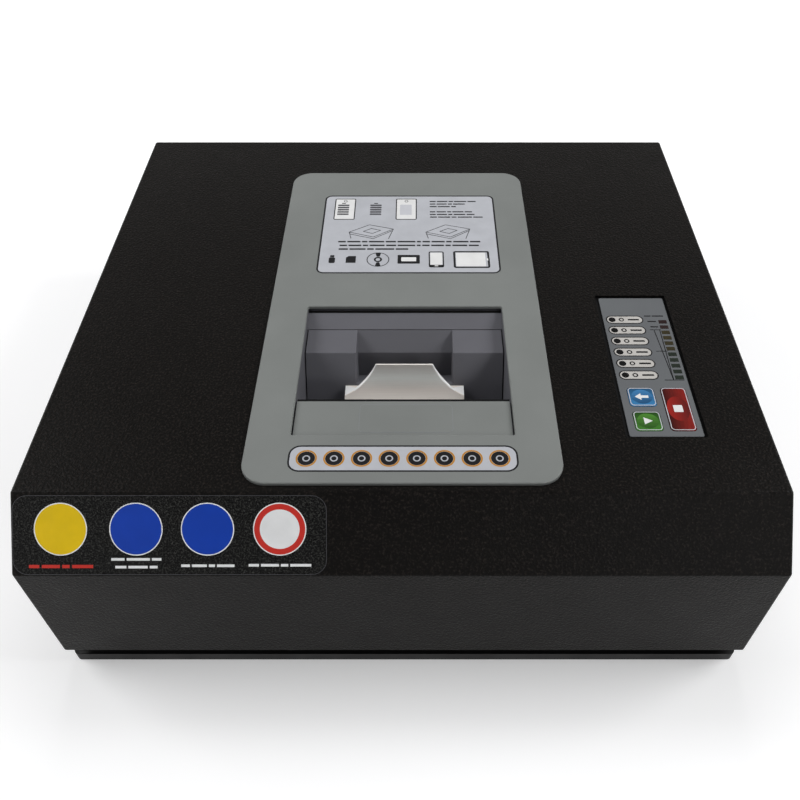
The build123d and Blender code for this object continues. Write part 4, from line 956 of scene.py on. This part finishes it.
def make_lamp_pills():
    """Pills round the status lamps, each with a rim round its lamp, a mark and a bar."""
    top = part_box("control_overlay")[1].z
    lamp_low, lamp_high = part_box("status_lamps")
    lamp_radius = (lamp_high.x - lamp_low.x) / 2
    first = ((lamp_low.x + lamp_high.x) / 2, lamp_high.y - lamp_radius, 0)
    step = (0, -(lamp_high.y - lamp_low.y - 2 * lamp_radius) / (LAMP_COUNT - 1), 0)
    width, depth = PILL_SIZE
    outer = pill(width, depth)
    inner = pill(width - 2 * PILL_BORDER, depth - 2 * PILL_BORDER)
    marks = [disc_ring(PILL_MARK_X, 0, *PILL_MARK_RADII, PILL_MARK_STEPS),
             disc_ring(0, 0, LAMP_RIM, lamp_radius)]
    marks += bar_row(*PILL_BAR_ENDS, 0, PILL_BAR_HEIGHT)
    layers = (("borders", [[outer, inner]], BLACK_INK, 0, INK), ("faces", [inner], PILL_FILM, 0, INK),
              ("marks", marks, BLACK_INK, INK, PILL_MARK_TOP))
    for name, shapes, ink, low, high in layers:
        mesh = row_mesh(thin_solids(shapes, top + low, top + high), LAMP_COUNT, first, step, ink)
        piece("lamp_pill_" + name, mesh, ink, "chassis")


def make_load_scale():
    """Scale lines and short lines of bars beside the load bar."""
    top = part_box("control_overlay")[1].z
    low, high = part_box("load_bar_lamps")
    left = low.x
    head = high.y - SCALE_HEAD_DROP
    foot = low.y - SCALE_FOOT_DROP
    middle = head + (foot - head) * SCALE_MIDDLE_SHARE
    lines = []
    for reach, end, y in zip(SCALE_REACHES, (left, left, high.x), (head, middle, foot)):
        lines.append(bar(left - reach, end, y, SCALE_LINE))
    for reach in SCALE_SLANTS:
        lines.append(line((left - reach, head), (left - SCALE_SLANT_FOOT, foot), SCALE_LINE))
    for rise, x_from, x_to in SCALE_BARS:
        lines += bar_row(left + x_from, left + x_to, high.y + rise, SCALE_BAR_HEIGHT)
    flat_piece("load_scale_lines", lines, top, top + INK, BLACK_INK)


def key_symbol(key, x, y):
    """The mark on a key: an arrow to the left, a triangle or a square."""
    if key == "stop_key":
        return [rounded(x, y, 6.4 * MM, 6.4 * MM, 0.5 * MM)]
    if key == "start_key":
        return [[(x - 2.6 * MM, y - 3.2 * MM), (x + 3.4 * MM, y), (x - 2.6 * MM, y + 3.2 * MM)]]
    head = [(x - 5 * MM, y), (x - 0.6 * MM, y - 3.2 * MM), (x - 0.6 * MM, y + 3.2 * MM)]
    return [head, bar(x - 0.6 * MM, x + 4.6 * MM, y, 2.4 * MM)]


def make_key_print(key, radii):
    """The print on a key's face: a pale border, a lighter oval and the symbol."""
    low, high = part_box(key)
    edge = 2 * KEY_FLANGE + 2 * KEY_CHAMFER
    x = (low.x + high.x) / 2
    y = (low.y + high.y) / 2
    top = high.z
    border = ring(x, y, high.x - low.x - edge, high.y - low.y - edge, KEY_CORNER, KEY_BORDER)
    flat_piece(key + "_border", [border], top, top + INK, PALE_INK, key)
    flat_piece(key + "_dome", [oval(x, y, *radii)], top, top + INK, KEY_DOMES[key], key)
    flat_piece(key + "_symbol", key_symbol(key, x, y), top, top + 2 * INK, WHITE_INK, key)


def make_floor():
    """A pale floor that the camera sees as white, with the object's soft shadow on it."""
    material, tree, shader = new_material("studio_floor")
    colour = mix_colour(tree, tone(tree, 1.5), srgb(232, 232, 233), srgb(237, 237, 238))
    dress(tree, shader, colour, 0.9, specular=0.1)
    path = add(tree, "ShaderNodeLightPath")
    seen = worked_out(tree, "MAXIMUM", path.outputs["Is Camera Ray"], path.outputs["Is Glossy Ray"])
    through = worked_out(tree, "MAXIMUM", seen, path.outputs["Is Transmission Ray"])
    away = add(tree, "ShaderNodeVectorMath", {"operation": "LENGTH"}, Vector=surface_place(tree))
    reach = mapped(tree, away.outputs["Value"], (0.4, 2.2), (0.3, 0.95))
    glow = add(tree, "ShaderNodeEmission", Strength=worked_out(tree, "MULTIPLY", through, reach))
    both = add(tree, "ShaderNodeAddShader")
    tree.links.new(shader.outputs[0], both.inputs[0])
    tree.links.new(glow.outputs[0], both.inputs[1])
    tree.links.new(both.outputs[0], tree.nodes["Material Output"].inputs["Surface"])
    mesh = bpy.data.meshes.new("studio_floor")
    corners = [(-FLOOR_HALF, -FLOOR_HALF, 0), (FLOOR_HALF, -FLOOR_HALF, 0),
               (FLOOR_HALF, FLOOR_HALF, 0), (-FLOOR_HALF, FLOOR_HALF, 0)]
    mesh.from_pydata(corners, [], [(0, 1, 2, 3)])
    mesh.materials.append(material)
    floor = bpy.data.objects.new("studio_floor", mesh)
    bpy.context.scene.collection.objects.link(floor)


def make_world():
    """White to the camera, brighter low down to what mirrors it, and a little light from all round."""
    world = bpy.data.worlds.new("studio_world")
    world.use_nodes = True
    tree = world.node_tree
    background = tree.nodes["Background"]
    background.inputs["Color"].default_value = (1.0, 1.0, 1.0, 1.0)
    path = add(tree, "ShaderNodeLightPath")
    aim = add(tree, "ShaderNodeSeparateXYZ", Vector=add(tree, "ShaderNodeTexCoord").outputs["Generated"])
    band = mapped(tree, aim.outputs["Z"], (0.0, 0.62), (0.9, WORLD_LIGHT))
    mirrored = worked_out(tree, "MAXIMUM", path.outputs["Is Glossy Ray"], path.outputs["Is Transmission Ray"])
    shown_band = worked_out(tree, "MULTIPLY", mirrored, band)
    white = worked_out(tree, "MAXIMUM", path.outputs["Is Camera Ray"], shown_band)
    tree.links.new(worked_out(tree, "MAXIMUM", white, WORLD_LIGHT), background.inputs["Strength"])
    bpy.context.scene.world = world


def make_lamp(name, place, side, power):
    """A soft square lamp that points at the object."""
    lamp = bpy.data.lights.new(name, "AREA")
    lamp.size = side
    lamp.energy = power
    obj = bpy.data.objects.new(name, lamp)
    obj.location = place
    obj.rotation_euler = (Vector(LAMP_AIM) - Vector(place)).to_track_quat("-Z", "Y").to_euler()
    bpy.context.scene.collection.objects.link(obj)


def make_camera():
    """The camera and the way its picture is shown."""
    camera = bpy.data.cameras.new("camera")
    camera.sensor_width = 36
    camera.lens = CAMERA_LENS
    camera.shift_x = CAMERA_SHIFT
    obj = bpy.data.objects.new("camera", camera)
    obj.location = CAMERA_PLACE
    obj.rotation_euler = (CAMERA_TILT, 0, 0)
    bpy.context.scene.collection.objects.link(obj)
    bpy.context.scene.camera = obj
    bpy.context.scene.view_settings.view_transform = "Standard"


for shown_node, soft_edge in SOFT_EDGES.items():
    smooth_copy(shown_node, soft_edge)
paint_cut_ends(bpy.data.objects["lid_handle_shown"])
make_upper_label()
make_lower_strip()
make_sill_film()
make_gap_foam()
make_lip_painted_shade()
make_slope_film()
make_lamp_pills()
make_load_scale()
for printed_key, (key_slot, oval_radii) in KEYS.items():
    make_key_print(printed_key, oval_radii)
make_floor()
make_world()
for lamp_name, (lamp_place, lamp_side, lamp_power) in LAMPS.items():
    make_lamp(lamp_name, lamp_place, lamp_side, lamp_power)
bpy.data.objects["overhead_lamp"].visible_glossy = False
make_camera()
